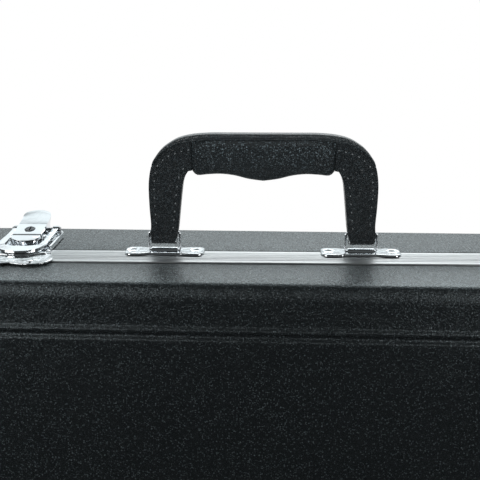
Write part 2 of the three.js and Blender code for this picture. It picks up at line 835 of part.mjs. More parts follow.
// Metal clip folded round the end of a leg, its sides along the leg's taper
function legClip() {
  const bottom = legEndRise - clearance - clipThickness;
  const taper = (legHalfWidth - legEndHalfWidth) / (legTaperRise - legEndRise);
  const inner = legEndHalfWidth + clearance;
  const upper = inner + taper * clipRise;
  const points = [
    [-inner - clipThickness, bottom], [inner + clipThickness, bottom],
    [upper + clipThickness, bottom + clipRise], [upper, bottom + clipRise],
    [inner, bottom + clipThickness], [-inner, bottom + clipThickness],
    [-upper, bottom + clipRise], [-upper - clipThickness, bottom + clipRise],
  ];
  return slabY(polygon(points), -clipDepth / 2, clipDepth / 2);
}

for (const [side, word] of [[-1, 'left'], [1, 'right']]) {
  const place = new THREE.Group();
  place.position.set(side * plateHalfSpacing, 0, 0);
  handleGroup.add(place);
  add(`handle_plate_${word}`, handlePlate(), 'chrome', place);
  add(`handle_clip_${word}`, legClip(), 'chrome', place);
  const loop = add(`handle_loop_${word}`, wireLoop(), 'chrome', place);
  loop.position.set(0, 0, loopAxisRise);
}
// Latches. Each has its own frame: X = 0 in its middle, Y = 0 on the parting plane, Z = 0 on the shells' top.
function latchPan() {
  const top = fittingBottom + panThickness + panRimRise;
  const floorTop = fittingBottom + panThickness;
  const outline = new THREE.Shape();
  outline.moveTo(-panFlareHalfWidth, panStart);
  outline.lineTo(panFlareHalfWidth, panStart);
  outline.lineTo(panHalfWidth, panFlareStart);
  const cornerX = panHalfWidth - panCornerRadius;
  const cornerY = panEnd - panCornerRadius;
  outline.lineTo(panHalfWidth, cornerY);
  outline.absarc(cornerX, cornerY, panCornerRadius, 0, Math.PI / 2);
  outline.lineTo(-cornerX, panEnd);
  outline.absarc(-cornerX, cornerY, panCornerRadius, Math.PI / 2, Math.PI);
  outline.lineTo(-panHalfWidth, panFlareStart);
  const innerHalf = panHalfWidth - panRimWall;
  const inner = roundedRectangle(
    -innerHalf, innerHalf, panStart - panCornerRadius, panEnd - panRimWall, panCornerRadius - panRimWall,
  );
  const nearEnd = box(-panFlareHalfWidth, panFlareHalfWidth, 0, panFlareStart, floorTop, top + overrun);
  const tray = cut(slabZ(outline, fittingBottom, top), slabZ(inner, floorTop, top + overrun), nearEnd);
  const earShape = new THREE.Shape();
  earShape.moveTo(leverPivotOffset - earHalfLength, floorTop - panThickness / 2);
  earShape.lineTo(leverPivotOffset + earHalfLength, floorTop - panThickness / 2);
  earShape.lineTo(leverPivotOffset + earHalfLength / 2, leverPivotRise + latchPinHeadRadius);
  earShape.lineTo(leverPivotOffset - earHalfLength / 2, leverPivotRise + latchPinHeadRadius);
  const earStart = leverHalfWidth + clearance;
  const ears = [
    slabX(earShape, earStart, earStart + earThickness),
    slabX(earShape, -earStart - earThickness, -earStart),
  ];
  const housingHalf = leverHalfWidth;
  const housingStart = housingEnd - housingLength;
  const housingSide = polygon([
    [housingStart, floorTop - panThickness / 2],
    [housingEnd, floorTop - panThickness / 2],
    [housingEnd, housingRise],
    [housingStart, housingFrontRise],
  ]);
  const plan = new THREE.Shape();
  plan.moveTo(housingHalf, housingEnd + overrun);
  plan.lineTo(-housingHalf, housingEnd + overrun);
  plan.lineTo(-housingHalf, housingEnd);
  plan.quadraticCurveTo(-housingHalf, housingStart, 0, housingStart);
  plan.quadraticCurveTo(housingHalf, housingStart, housingHalf, housingEnd);
  const rounded = common(
    slabX(housingSide, -housingHalf, housingHalf),
    slabZ(plan, 0, housingRise + overrun, latchCurveSteps),
  );
  const bore = barX(latchPinRadius + clearance, -panHalfWidth, panHalfWidth, leverPivotOffset, leverPivotRise);
  return cut(join(tray, ...ears, rounded), bore);
}

// The lever's panel slopes up from the knuckle to the tab
const panelSlope = Math.atan(panelSlopeShare);

function panelHeight(y) {
  return leverPivotRise + knuckleRadius / Math.cos(panelSlope) + (y - leverPivotOffset) * panelSlopeShare;
}

// Turns a piece that stands upright at the lock square to the sloping panel
function squareToPanel(geometry) {
  geometry.translate(0, -lockOffset, -panelHeight(lockOffset));
  geometry.rotateX(panelSlope);
  geometry.translate(0, lockOffset, panelHeight(lockOffset));
  return geometry;
}

// Side profile of the lever: knuckle, sloping lock panel, a pressed line and a finger tab with a curled end
function latchLever(keyed) {
  const tabFoot = panelHeight(panelEndOffset);
  const tabReach = tabEndOffset - panelEndOffset;
  const tabLift = tabRise - tabFoot;
  const tabPoint = (alongShare, upShare) => [
    panelEndOffset + tabReach * alongShare, tabFoot + tabLift * upShare,
  ];
  const tabShares = [
    [0.015, -0.08], [0.05, 0.03], [0.595, 0.473], [0.766, 0.8], [0.878, 1], [0.971, 0.93],
    [1, 0.78], [0.956, 0.71], [0.873, 0.745], [0.795, 0.564], [0.63, 0.218], [0.517, -0.255],
  ];
  const shape = new THREE.Shape();
  shape.moveTo(panelEndOffset, tabFoot);
  for (const [alongShare, upShare] of tabShares) {
    shape.lineTo(...tabPoint(alongShare, upShare));
  }
  shape.lineTo(haspPinOffset + haspEyeRadius, leverUndersideRise);
  shape.lineTo(leverPivotOffset + knuckleRadius, leverUndersideRise);
  shape.absarc(leverPivotOffset, leverPivotRise, knuckleRadius, -Math.PI / 4, panelSlope - Math.PI * 1.5, true);
  const side = slabX(shape, -leverHalfWidth, leverHalfWidth, knuckleSteps);
  const outline = roundedRectangle(-leverHalfWidth, leverHalfWidth, -overrun, tabEndOffset, tabCornerRadius);
  const rounded = common(side, slabZ(outline, 0, tabRise + overrun));
  const bores = [
    barX(latchPinRadius + clearance, -panHalfWidth, panHalfWidth, leverPivotOffset, leverPivotRise),
    barX(latchPinRadius + clearance, -panHalfWidth, panHalfWidth, haspPinOffset, haspPinRise),
  ];
  if (keyed) {
    const top = panelHeight(lockOffset);
    bores.push(squareToPanel(barZ(lockRadius + clearance, 0, lockOffset, top - lockDepth, top + overrun)));
  }
  return cut(rounded, ...bores);
}

function lockPlug() {
  const panelTop = panelHeight(lockOffset);
  const top = panelTop + lockProud;
  const plug = barZ(lockRadius, 0, lockOffset, panelTop - lockDepth + clearance, top);
  const slot = box(
    -keySlotWidth / 2, keySlotWidth / 2, lockOffset - keySlotLength / 2, lockOffset + keySlotLength / 2,
    top - keySlotDepth, top + overrun,
  );
  return squareToPanel(cut(plug, slot));
}

// Hasp frame: two arms from the hasp pin, joined at the near end by a curved band
function latchHasp() {
  const innerHalf = haspHalfWidth - haspArmWidth;
  const bandInner = haspBandStart + haspBandWidth;
  const outline = new THREE.Shape();
  outline.moveTo(haspHalfWidth, haspPinOffset);
  outline.lineTo(innerHalf, haspPinOffset);
  outline.lineTo(innerHalf, haspBandShoulder);
  outline.quadraticCurveTo(innerHalf, bandInner, 0, bandInner);
  outline.quadraticCurveTo(-innerHalf, bandInner, -innerHalf, haspBandShoulder);
  outline.lineTo(-innerHalf, haspPinOffset);
  outline.lineTo(-haspHalfWidth, haspPinOffset);
  outline.lineTo(-haspHalfWidth, haspBandShoulder);
  outline.quadraticCurveTo(-haspHalfWidth, haspBandStart, 0, haspBandStart);
  outline.quadraticCurveTo(haspHalfWidth, haspBandStart, haspHalfWidth, haspBandShoulder);
  const frame = slabZ(outline, haspTopRise - haspThickness, haspTopRise, latchCurveSteps);
  const slope = (haspPinRise + haspThickness / 2 - haspTopRise) / (haspPinOffset - haspBandShoulder);
  const position = frame.getAttribute('position');
  for (let i = 0; i < position.count; i += 1) {
    const past = Math.max(0, position.getY(i) - haspBandShoulder);
    const ahead = Math.max(0, bandInner - position.getY(i)) / haspBandWidth;
    const upper = position.getZ(i) > haspTopRise - haspThickness / 2;
    position.setZ(i, position.getZ(i) + slope * past - (upper ? haspBandDrop * ahead : 0));
  }
  const eyes = [-1, 1].map((side) => {
    const from = side > 0 ? innerHalf : -haspHalfWidth;
    return barX(haspEyeRadius, from, from + haspArmWidth, haspPinOffset, haspPinRise, roundSteps);
  });
  const bore = barX(latchPinRadius + clearance, -panHalfWidth, panHalfWidth, haspPinOffset, haspPinRise);
  return cut(join(frame, ...eyes), bore);
}

// Catch plate on the lid, with a lobe round each rivet and a curved ridge under the hasp's band
function latchCatch() {
  const outline = new THREE.Shape();
  const lobe = catchLobeOffset;
  outline.moveTo(-catchFarHalfWidth, -partingGap);
  outline.lineTo(-catchHalfWidth, catchSideEnd);
  outline.quadraticCurveTo(-catchHalfWidth, catchLobeEnd, -lobe, catchLobeEnd);
  outline.quadraticCurveTo(-lobe / 2, catchLobeEnd, 0, catchMiddleEnd);
  outline.quadraticCurveTo(lobe / 2, catchLobeEnd, lobe, catchLobeEnd);
  outline.quadraticCurveTo(catchHalfWidth, catchLobeEnd, catchHalfWidth, catchSideEnd);
  outline.lineTo(catchFarHalfWidth, -partingGap);
  const ridge = new THREE.Shape();
  ridge.moveTo(-catchRidgeHalfWidth, -partingGap);
  ridge.lineTo(-catchRidgeHalfWidth, catchRidgeSideEnd);
  ridge.quadraticCurveTo(-catchRidgeHalfWidth / 2, catchRidgeEnd, 0, catchRidgeEnd);
  ridge.quadraticCurveTo(catchRidgeHalfWidth / 2, catchRidgeEnd, catchRidgeHalfWidth, catchRidgeSideEnd);
  ridge.lineTo(catchRidgeHalfWidth, -partingGap);
  return join(
    slabZ(outline, fittingBottom, fittingBottom + catchThickness, latchCurveSteps),
    slabZ(ridge, fittingBottom, catchRidgeRise, latchCurveSteps),
  );
}

function latchPin(halfLength, y, z) {
  return join(
    barX(latchPinRadius, -halfLength, halfLength, y, z),
    barX(latchPinHeadRadius, -halfLength - latchPinHeadLength, -halfLength, y, z),
    barX(latchPinHeadRadius, halfLength, halfLength + latchPinHeadLength, y, z),
  );
}

latchXs.forEach((x, index) => {
  const latch = new THREE.Group();
  latch.position.set(x, 0, topZ);
  trombone_case.add(latch);
  const name = `latch_${index + 1}`;
  const keyed = index < keyedLatches;
  add(`${name}_pan`, latchPan(), 'chrome', latch);
  add(`${name}_lever`, latchLever(keyed), 'chrome', latch);
  add(`${name}_hasp`, latchHasp(), 'chrome', latch);
  add(`${name}_catch`, latchCatch(), 'chrome', latch);
  const leverPinHalf = leverHalfWidth + clearance + earThickness - latchPinHeadLength;
  add(`${name}_lever_pin`, barX(
    latchPinRadius, -leverPinHalf - latchPinHeadLength, leverPinHalf + latchPinHeadLength,
    leverPivotOffset, leverPivotRise,
  ), 'steel', latch);
  add(`${name}_hasp_pin`, latchPin(haspHalfWidth + clearance, haspPinOffset, haspPinRise), 'steel', latch);
  if (keyed) {
    add(`${name}_lock_plug`, lockPlug(), 'chrome', latch);
  }
});

// Spine hinges under the parting line: a leaf with two knuckles, a leaf with one, and a pin
const hingeLeafTop = footHeight - fittingBottom;
const hingeLeafBottom = hingeLeafTop - hingeLeafThickness;
const hingeAxisZ = hingeLeafBottom - hingeKnuckleRadius + hingeLeafThickness;

function hingeLeaf(side, spans) {
  const nearEdge = hingeKnuckleRadius + clearance;
  const leaf = side > 0
    ? box(-hingeLength / 2, hingeLength / 2, nearEdge, hingeLeafWidth, hingeLeafBottom, hingeLeafTop)
    : box(-hingeLength / 2, hingeLength / 2, -hingeLeafWidth, -nearEdge, hingeLeafBottom, hingeLeafTop);
  const parts = [leaf];
  for (const [from, to] of spans) {
    parts.push(barX(hingeKnuckleRadius, from, to, 0, hingeAxisZ, roundSteps));
    parts.push(side > 0
      ? box(from, to, 0, nearEdge + clearance, hingeLeafBottom, hingeLeafTop - clearance)
      : box(from, to, -nearEdge - clearance, 0, hingeLeafBottom, hingeLeafTop - clearance));
  }
  const bore = barX(hingePinRadius + clearance, -hingeLength, hingeLength, 0, hingeAxisZ);
  return cut(join(...parts), bore);
}

const middleHalf = (hingeLength * hingeMiddleShare) / 2;
hingeXs.forEach((x, index) => {
  const hinge = new THREE.Group();
  hinge.position.set(x, 0, 0);
  trombone_case.add(hinge);
  const name = `hinge_${index + 1}`;
  const outer = middleHalf + clearance;
  const outerSpans = [[-hingeLength / 2, -outer], [outer, hingeLength / 2]];
  add(`${name}_base_leaf`, hingeLeaf(1, outerSpans), 'chrome', hinge);
  add(`${name}_lid_leaf`, hingeLeaf(-1, [[-middleHalf, middleHalf]]), 'chrome', hinge);
  add(`${name}_pin`, barX(hingePinRadius, -hingeLength / 2, hingeLength / 2, 0, hingeAxisZ), 'steel', hinge);
});

// Rubber feet under the spine, two on each shell
function foot(x, y) {
  const height = footHeight - clearance;
  const geometry = new THREE.CylinderGeometry(footRadius, footRadius - footTaper, height, roundSteps);
  geometry.rotateX(Math.PI / 2);
  geometry.translate(x, y, height / 2);
  return geometry;
}

const footX = halfLength - footEndMargin;
add('base_foot_left', foot(-footX, baseFootOffset), 'rubber');
add('base_foot_right', foot(footX, bellFootOffset), 'rubber');
add('lid_foot_left', foot(-footX, -lidFootOffset), 'rubber');
add('lid_foot_right', foot(footX, -bellFootOffset), 'rubber');

export default trombone_case;
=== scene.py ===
import json
import math

import bmesh
import bpy
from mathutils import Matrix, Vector

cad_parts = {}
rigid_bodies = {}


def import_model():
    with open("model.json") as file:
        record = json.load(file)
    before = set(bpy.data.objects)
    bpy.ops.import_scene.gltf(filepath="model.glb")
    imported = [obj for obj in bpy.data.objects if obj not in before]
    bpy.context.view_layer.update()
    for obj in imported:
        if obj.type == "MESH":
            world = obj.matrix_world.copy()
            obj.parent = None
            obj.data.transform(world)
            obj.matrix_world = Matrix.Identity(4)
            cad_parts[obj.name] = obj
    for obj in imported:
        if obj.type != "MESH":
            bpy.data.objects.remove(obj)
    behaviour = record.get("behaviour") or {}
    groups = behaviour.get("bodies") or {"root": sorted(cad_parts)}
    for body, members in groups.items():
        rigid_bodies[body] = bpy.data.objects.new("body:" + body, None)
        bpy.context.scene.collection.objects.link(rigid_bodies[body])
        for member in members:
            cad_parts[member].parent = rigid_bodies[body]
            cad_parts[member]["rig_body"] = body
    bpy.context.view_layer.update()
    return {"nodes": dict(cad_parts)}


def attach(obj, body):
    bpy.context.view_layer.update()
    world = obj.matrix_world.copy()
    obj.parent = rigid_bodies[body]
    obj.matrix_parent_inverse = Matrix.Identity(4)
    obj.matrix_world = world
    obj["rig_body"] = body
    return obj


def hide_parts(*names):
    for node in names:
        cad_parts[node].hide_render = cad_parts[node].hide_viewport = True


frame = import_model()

MM = 0.001
SIDES = ((-1, "left"), (1, "right"))

# ------------------------------------------------ sizes shared with the CAD, in millimetres
HALF_LENGTH, HALF_HEIGHT, CORNER = 470.0, 152.0, 60.0
MID_Z, TOP = 160.0, 312.0
EDGE, WALL = 5.5, 3.0
VALANCE = 12.0
LID_DEPTH, BASE_DEPTH, BELL_DEPTH = 42.5, 56.6, 100.0
SLANT = 0.018
BELL_START, BELL_RAMP = 250.0, 140.0
HANDLE_X, HANDLE_Y = 40.7, 8.75
PLATE_X, RIVET_X = 65.9, 21.4
LOOP_AXIS = 2.0
LATCH_X = (-122.0, 222.0, -360.0)
HINGE_X = (-300.0, 0.0, 300.0)


# ------------------------------------------------ node helpers
class Nodes:
    """Short calls for the nodes of a material or of the world."""

    def __init__(self, tree):
        self.tree = tree
        self.coord = tree.nodes.new("ShaderNodeTexCoord").outputs
        self.place = self.coord["Object"]

    def set(self, socket, value):
        """Links an output to a socket, or sets a number or a colour on it."""
        if isinstance(value, bpy.types.NodeSocket):
            self.tree.links.new(value, socket)
        else:
            socket.default_value = value

    def new(self, kind, **values):
        """A node with its properties and its inputs by name, with _ for a space."""
        node = self.tree.nodes.new(kind)
        for key, value in values.items():
            socket = key.replace("_", " ")
            if socket in node.inputs:
                self.set(node.inputs[socket], value)
            else:
                setattr(node, key, value)
        return node

    def mapped(self, scale):
        return self.new("ShaderNodeMapping", Vector=self.place, Scale=scale).outputs["Vector"]

    def noise(self, scale, detail=3.0, rough=0.5, vector=None):
        vector = self.place if vector is None else vector
        node = self.new("ShaderNodeTexNoise", Vector=vector, Scale=scale, Detail=detail,
                        Roughness=rough)
        return node.outputs["Fac"]

    def voronoi(self, scale, feature):
        node = self.new("ShaderNodeTexVoronoi", feature=feature, Vector=self.place, Scale=scale)
        return node.outputs["Distance"]

    def painted_glints(self, scale, reach, chance):
        """Painted glints on crooked round tips of one height each: a few bright ones, and most of
        them low.
        """
        drift = self.new("ShaderNodeTexNoise", Vector=self.place, Detail=1.0,
                         Scale=DRIFT_SCALE * scale)
        warp = self.new("ShaderNodeVectorMath", operation="MULTIPLY_ADD")
        far = DRIFT / scale
        for socket, value in zip(warp.inputs,
                                 (drift.outputs["Color"], (far, far, far), self.place)):
            self.set(socket, value)
        cells = self.new("ShaderNodeTexVoronoi", Vector=warp.outputs["Vector"], Scale=scale)
        split = self.new("ShaderNodeSeparateColor", Color=cells.outputs["Color"])
        tip = self.map_range(cells.outputs["Distance"], reach, (1.0, 0.0))
        rare = self.map_range(split.outputs["Red"], (chance, 1.0), (0.0, 1.0))
        return self.math("MULTIPLY", tip, self.math("MULTIPLY", rare, rare))

    def axis(self, letter, vector=None):
        """X, Y or Z of a vector, or of the place on the object."""
        vector = self.place if vector is None else vector
        return self.new("ShaderNodeSeparateXYZ", Vector=vector).outputs[letter]

    def ramp(self, value, *stops):
        """A colour for each value, from pairs of a position and a colour."""
        node = self.new("ShaderNodeValToRGB", Fac=value)
        elements = node.color_ramp.elements
        while len(elements) < len(stops):
            elements.new(0.5)
        for element, (position, colour) in zip(elements, stops):
            element.position = position
            element.color = (*colour, 1.0)
        return node.outputs["Color"]

    def tones(self, value, reach, dark, light):
        """A dark colour that turns light as a value goes through a range."""
        return self.ramp(value, (reach[0], dark), (reach[1], light))

    def math(self, operation, a, b):
        node = self.new("ShaderNodeMath", operation=operation)
        for socket, value in zip(node.inputs, (a, b)):
            self.set(socket, value)
        return node.outputs["Value"]

    def total(self, first, *others):
        """The first value plus each of the others times its weight."""
        for value, weight in others:
            first = self.math("ADD", first, self.math("MULTIPLY", value, weight))
        return first

    def map_range(self, value, source, target, interpolation="LINEAR"):
        node = self.new("ShaderNodeMapRange", interpolation_type=interpolation, Value=value,
                        From_Min=source[0], From_Max=source[1],
                        To_Min=target[0], To_Max=target[1])
        return node.outputs["Result"]

    def bump(self, height, depth, strength):
        """A normal from a height, with its depth in millimetres."""
        node = self.new("ShaderNodeBump", Height=height, Distance=depth * MM, Strength=strength)
        return node.outputs["Normal"]


class Material(Nodes):
    """A new material on Blender's own shader."""

    def __init__(self, name):
        self.mat = bpy.data.materials.new(name)
        self.mat.use_nodes = True
        super().__init__(self.mat.node_tree)
        self.bsdf = self.tree.nodes["Principled BSDF"]

    def finish(self, color, rough, normal, **values):
        """Sets the shader's inputs by name, with _ for a space."""
        values.update(Base_Color=color, Roughness=rough, Normal=normal)
        for key, value in values.items():
            self.set(self.bsdf.inputs[key.replace("_", " ")], value)
        return self.mat


# ------------------------------------------------ materials
# Scales are cells to the metre. Most values of a noise lie in this range.
MOST = (0.3, 0.7)
# Crooked cells of the painted glints: the drift's scale beside theirs, and how far it moves them,
# in cells.
DRIFT_SCALE, DRIFT = 1.3, 1.1
# Colours of the shell, from its dark ground up to the painted glints and painted sparkle.
SHELL_TONES = ((0.0, (0.0078, 0.0088, 0.0094)), (0.12, (0.0112, 0.0130, 0.0138)),
               (0.5, (0.0520, 0.0640, 0.0680)), (1.0, (0.1300, 0.1560, 0.1640)))
# Leather's painted glints on its tips, as multiples of its tint: all of them, and the brightest.
TIP_TONE, PEAK_TONE, SPARK_TONE = 1.7, 1.9, 5.5


def shell_material(name, ior):
    """Black moulded plastic: a pebble grain, painted glints on single tips, and painted sparkle on
    its upward faces.
    """
    n = Material(name)
    grain = n.noise(980.0, detail=2.0, rough=0.55)
    small = n.map_range(n.voronoi(1900.0, "SMOOTH_F1"), (0.08, 0.6), (1.0, 0.0))
    swell = n.noise(430.0, detail=1.0)
    height = n.total(n.math("MULTIPLY", grain, 1.6), (small, 0.45), (swell, 0.55))
    cloud = n.map_range(n.noise(14.0), MOST, (0.8, 1.1))
    # Painted glints: single lighter tips in the colour, standing in for the grain's sparkle.
    glints = n.math("MULTIPLY", n.painted_glints(1000.0, reach=(0.12, 0.55), chance=0.12), cloud)
    specks = n.noise(860.0, detail=2.0, rough=0.6, vector=n.mapped((1.0, 0.55, 1.0)))
    # Painted sparkle: lighter specks in the colour of the faces that look up, where the grain
    # catches the light.
    upward = n.map_range(n.axis("Z", n.coord["Normal"]), (0.93, 0.995), (0.0, 1.0))
    dust_and_sparkle = n.math("MULTIPLY", upward, n.map_range(specks, (0.42, 0.64), (0.0, 1.3)))
    color = n.ramp(n.math("MAXIMUM", glints, dust_and_sparkle), *SHELL_TONES)
    rough = n.map_range(n.noise(1100.0), MOST, (0.09, 0.20))
    return n.finish(color, rough, n.bump(height, depth=0.22, strength=1.0), IOR=ior,
                    Specular_IOR_Level=0.5, Specular_Tint=(0.86, 1.0, 1.04, 1.0))


def leather_material(name, tint, grain, spark, shine=0.0, ior=1.52, painted_light_heights=None):
    """Creased leather with painted glints on its tips, and painted light towards the upper of two
    heights.
    """
    n = Material(name)
    creases = n.map_range(n.voronoi(780.0, "DISTANCE_TO_EDGE"), (0.0, 0.22), (0.0, 1.0))
    fine = n.noise(2400.0)
    folds = n.noise(150.0, detail=4.0, rough=0.6)
    height = n.total(creases, (fine, 0.5), (folds, 1.2))
    wear_and_glint = n.map_range(n.noise(45.0, detail=4.0), MOST, (0.7, 1.15))
    # Painted glints on the leather's tips, brighter in some patches than in others.
    tone = n.math("MULTIPLY", n.painted_glints(980.0, reach=(0.12, 0.60), chance=0.0), wear_and_glint)
    # Painted light: the glints fade below the lower height and grow towards the upper one, where
    # light falls.
    if painted_light_heights:
        heights = [(TOP + z) * MM for z in painted_light_heights]
        tone = n.math("MULTIPLY", tone, n.map_range(n.axis("Z"), heights, (0.32, 1.6)))
    light = [TIP_TONE * c for c in tint]
    peak = [(PEAK_TONE + SPARK_TONE * spark) * c for c in tint]
    color = n.ramp(tone, (0.0, tint), (0.1, light), (0.8, peak))
    rough = n.map_range(fine, MOST, (0.28 - shine, 0.42 - shine))
    return n.finish(color, rough, n.bump(height, depth=0.5 * grain, strength=0.9), IOR=ior,
                    Specular_IOR_Level=0.5)


def chrome_material(name, wave, depth, patches=60.0, detail=4.0, reach=(0.35, 0.7),
                    dark=(0.72, 0.75, 0.77)):
    """Chrome plate with smudges over a surface that waves a little."""
    n = Material(name)
    smudges = n.noise(patches, detail, rough=0.6)
    color = n.tones(smudges, reach, dark, light=(0.82, 0.84, 0.86))
    rough = n.map_range(smudges, (0.35, 0.75), (0.035, 0.10))
    normal = n.bump(n.noise(wave, detail=2.0), depth, strength=0.7)
    return n.finish(color, rough, normal, Metallic=1.0)


def aluminium_material():
    """Drawn aluminium, streaked along its length."""
    n = Material("valance_aluminium")
    streak = n.noise(1.0, rough=0.6, vector=n.mapped((3, 2300, 2300)))
    color = n.tones(streak, (0.34, 0.66), dark=(0.44, 0.455, 0.46), light=(0.55, 0.565, 0.57))
    rough = n.map_range(streak, MOST, (0.30, 0.42))
    return n.finish(color, rough, n.bump(streak, depth=0.06, strength=0.5), Metallic=1.0)


def steel_material():
    """Turned steel, with rings along X."""
    n = Material("pin_steel")
    rings = n.noise(8.0, vector=n.mapped((300, 1, 1)))
    color = n.tones(rings, MOST, dark=(0.36, 0.37, 0.38), light=(0.52, 0.53, 0.54))
    rough = n.map_range(rings, MOST, (0.24, 0.38))
    return n.finish(color, rough, n.bump(rings, depth=0.04, strength=0.5), Metallic=1.0)


def lock_material():
    """Dark, worn metal of the lock barrels."""
    n = Material("lock_barrel")
    wear_and_glint = n.noise(700.0, detail=2.0)
    color = n.tones(wear_and_glint, MOST, dark=(0.045, 0.048, 0.052), light=(0.13, 0.135, 0.14))
    rough = n.map_range(wear_and_glint, MOST, (0.16, 0.30))
    return n.finish(color, rough, n.bump(wear_and_glint, depth=0.1, strength=0.6), Metallic=1.0)


def plush_material():
    """Dark blue-grey plush with a brushed pile."""
    n = Material("plush")
    pile = n.noise(1800.0, detail=4.0, rough=0.7)
    brushed = n.noise(40.0, detail=4.0, rough=0.6)
    tone = n.total(n.math("MULTIPLY", pile, 0.55), (brushed, 0.45))
    color = n.tones(tone, (0.32, 0.68), dark=(0.030, 0.034, 0.050), light=(0.062, 0.068, 0.092))
    normal = n.bump(n.total(pile, (brushed, 0.5)), depth=0.7, strength=0.8)
    return n.finish(color, 0.92, normal, Sheen_Weight=0.6, Sheen_Roughness=0.4)


def rubber_material():
    """Matt rubber with dust on it."""
    n = Material("rubber")
    dust_and_sparkle = n.noise(220.0, detail=4.0, rough=0.6)
    color = n.tones(dust_and_sparkle, (0.35, 0.75), dark=(0.016, 0.016, 0.017), light=(0.035, 0.035, 0.035))
    rough = n.map_range(dust_and_sparkle, MOST, (0.7, 0.9))
    return n.finish(color, rough, n.bump(dust_and_sparkle, depth=0.2, strength=0.6))


def plastic_material():
    """Finely grained black plastic of the small inner parts."""
    n = Material("moulded_plastic")
    grain = n.noise(900.0)
    color = n.tones(n.noise(30.0), MOST, dark=(0.018, 0.018, 0.019), light=(0.028, 0.028, 0.030))
    rough = n.map_range(grain, MOST, (0.34, 0.5))
    return n.finish(color, rough, n.bump(grain, depth=0.1, strength=0.6))


def thread_material():
    """Grey twisted thread."""
    n = Material("thread")
    twist = n.noise(3200.0, detail=2.0)
    color = n.tones(twist, MOST, dark=(0.20, 0.225, 0.235), light=(0.38, 0.40, 0.41))
    return n.finish(color, 0.75, n.bump(twist, depth=0.2, strength=0.8))


# A finish is a material and the record's slot that it belongs to. The two shells differ a
# little in gloss, to meet the brightness of both tops in the photograph.
BASE_SHELL = shell_material("shell_base", 1.54), "shell"
LID_SHELL = shell_material("shell_lid", 1.76), "shell"
# The strap and the grip are the legs' leather in lighter tints, a painted highlight for the light
# that they catch.
LEATHER = leather_material("leather", (0.0185, 0.0235, 0.0262), grain=1.0, spark=0.6), "leather"
STRAP = leather_material("leather_strap", (0.0300, 0.0370, 0.0400), grain=0.22, spark=0.3,
                         shine=0.15, ior=1.75), "leather"
GRIP = leather_material("leather_grip", (0.0255, 0.0325, 0.0360), grain=1.5, spark=1.7,
                        painted_light_heights=(57.0, 74.0)), "leather"
CHROME = chrome_material("chrome", wave=130.0, depth=0.32), "chrome"
PRESSED = chrome_material("chrome_pressed", wave=210.0, depth=0.7), "chrome"
MOTTLED = chrome_material("chrome_mottled", wave=210.0, depth=0.7, patches=230.0, detail=3.0,
                          reach=(0.36, 0.66), dark=(0.36, 0.38, 0.39)), "chrome"
LOCK = lock_material(), "chrome"
ALUMINIUM = aluminium_material(), "valance"
STEEL = steel_material(), "steel"
PLUSH = plush_material(), "plush"
RUBBER = rubber_material(), "rubber"
PLASTIC = plastic_material(), "plastic"
THREAD = thread_material(), "leather"


# ------------------------------------------------ mesh helpers
def new_object(name, data):
    obj = bpy.data.objects.new(name, data)
    bpy.context.scene.collection.objects.link(obj)
    return obj


def dress(obj, body, node=None):
    """Puts a piece on the body that it rides on, and hides the CAD node that it stands for."""
    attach(obj, body)
    if node:
        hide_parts(node)
    return obj


def shade(mesh, sharp):
    """Smooth shading, apart from edges of more than so many degrees."""
    mesh.shade_smooth()
    mesh.set_sharp_from_angle(angle=math.radians(sharp))


def rounded(obj, width, segments, angle):
    """Rounds the edges of more than so many degrees."""
    bevel = obj.modifiers.new("edges", "BEVEL")
    bevel.width = width * MM
    bevel.segments = segments
    bevel.limit_method = "ANGLE"
    bevel.angle_limit = math.radians(angle)


def mesh_object(name, verts, faces, finish, body, sharp, node=None):
    """A piece from points in millimetres."""
    material, slot = finish
    mesh = bpy.data.meshes.new(name)
    mesh.from_pydata([tuple(c * MM for c in p) for p in verts], [], faces)
    bm = bmesh.new()
    bm.from_mesh(mesh)
    bmesh.ops.recalc_face_normals(bm, faces=bm.faces)
    bm.to_mesh(mesh)
    bm.free()
    mesh.materials.append(material)
    shade(mesh, sharp)
    return dress(new_object(name, mesh), body, node)


def form(node, verts, faces, finish, body, sharp):
    """A piece that stands for a CAD node."""
    return mesh_object(node + "_form", verts, faces, finish, body, sharp, node)


# In a refined node, points nearer than this are one, in metres, and so are faces that meet at
# less than this. Then come the least angles of a round edge and of a sharp one, in degrees.
MERGE, FLAT, REFINED_EDGE, REFINED_SHARP = 1e-5, 1.0, 30.0, 50.0


def refined(node, finish, width, segments, shape=None):
    """A copy of a CAD node with rounded edges, which stands for it."""
    material, slot = finish
    source = frame["nodes"][node]
    mesh = source.data.copy()
    mesh.name = node + "_form"
    bm = bmesh.new()
    bm.from_mesh(mesh)
    bmesh.ops.remove_doubles(bm, verts=bm.verts, dist=MERGE)
    bmesh.ops.dissolve_limit(bm, angle_limit=math.radians(FLAT), verts=bm.verts, edges=bm.edges)
    if shape:
        shape(bm)
    bm.to_mesh(mesh)
    bm.free()
    mesh.materials.clear()
    mesh.materials.append(material)
    shade(mesh, REFINED_SHARP)
    obj = new_object(node + "_form", mesh)
    rounded(obj, width, segments, REFINED_EDGE)
    return dress(obj, source["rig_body"], node)


def band(rings, sides, base=0, closed=False):
    """Faces between rings of points, each ring joined to the next one."""
    faces = []
    for r in range(rings if closed else rings - 1):
        low, high = base + r * sides, base + (r + 1) % rings * sides
        for i in range(sides):
            j = (i + 1) % sides
            faces.append((low + i, low + j, high + j, high + i))
    return faces


def cap(ring, sides, base=0):
    """One face that fills a ring."""
    return tuple(range(base + ring * sides, base + (ring + 1) * sides))


def circle(sides):
    """The cosine and sine of each point of a ring."""
    angles = [2 * math.pi * s / sides for s in range(sides)]
    return [(math.cos(a), math.sin(a)) for a in angles]


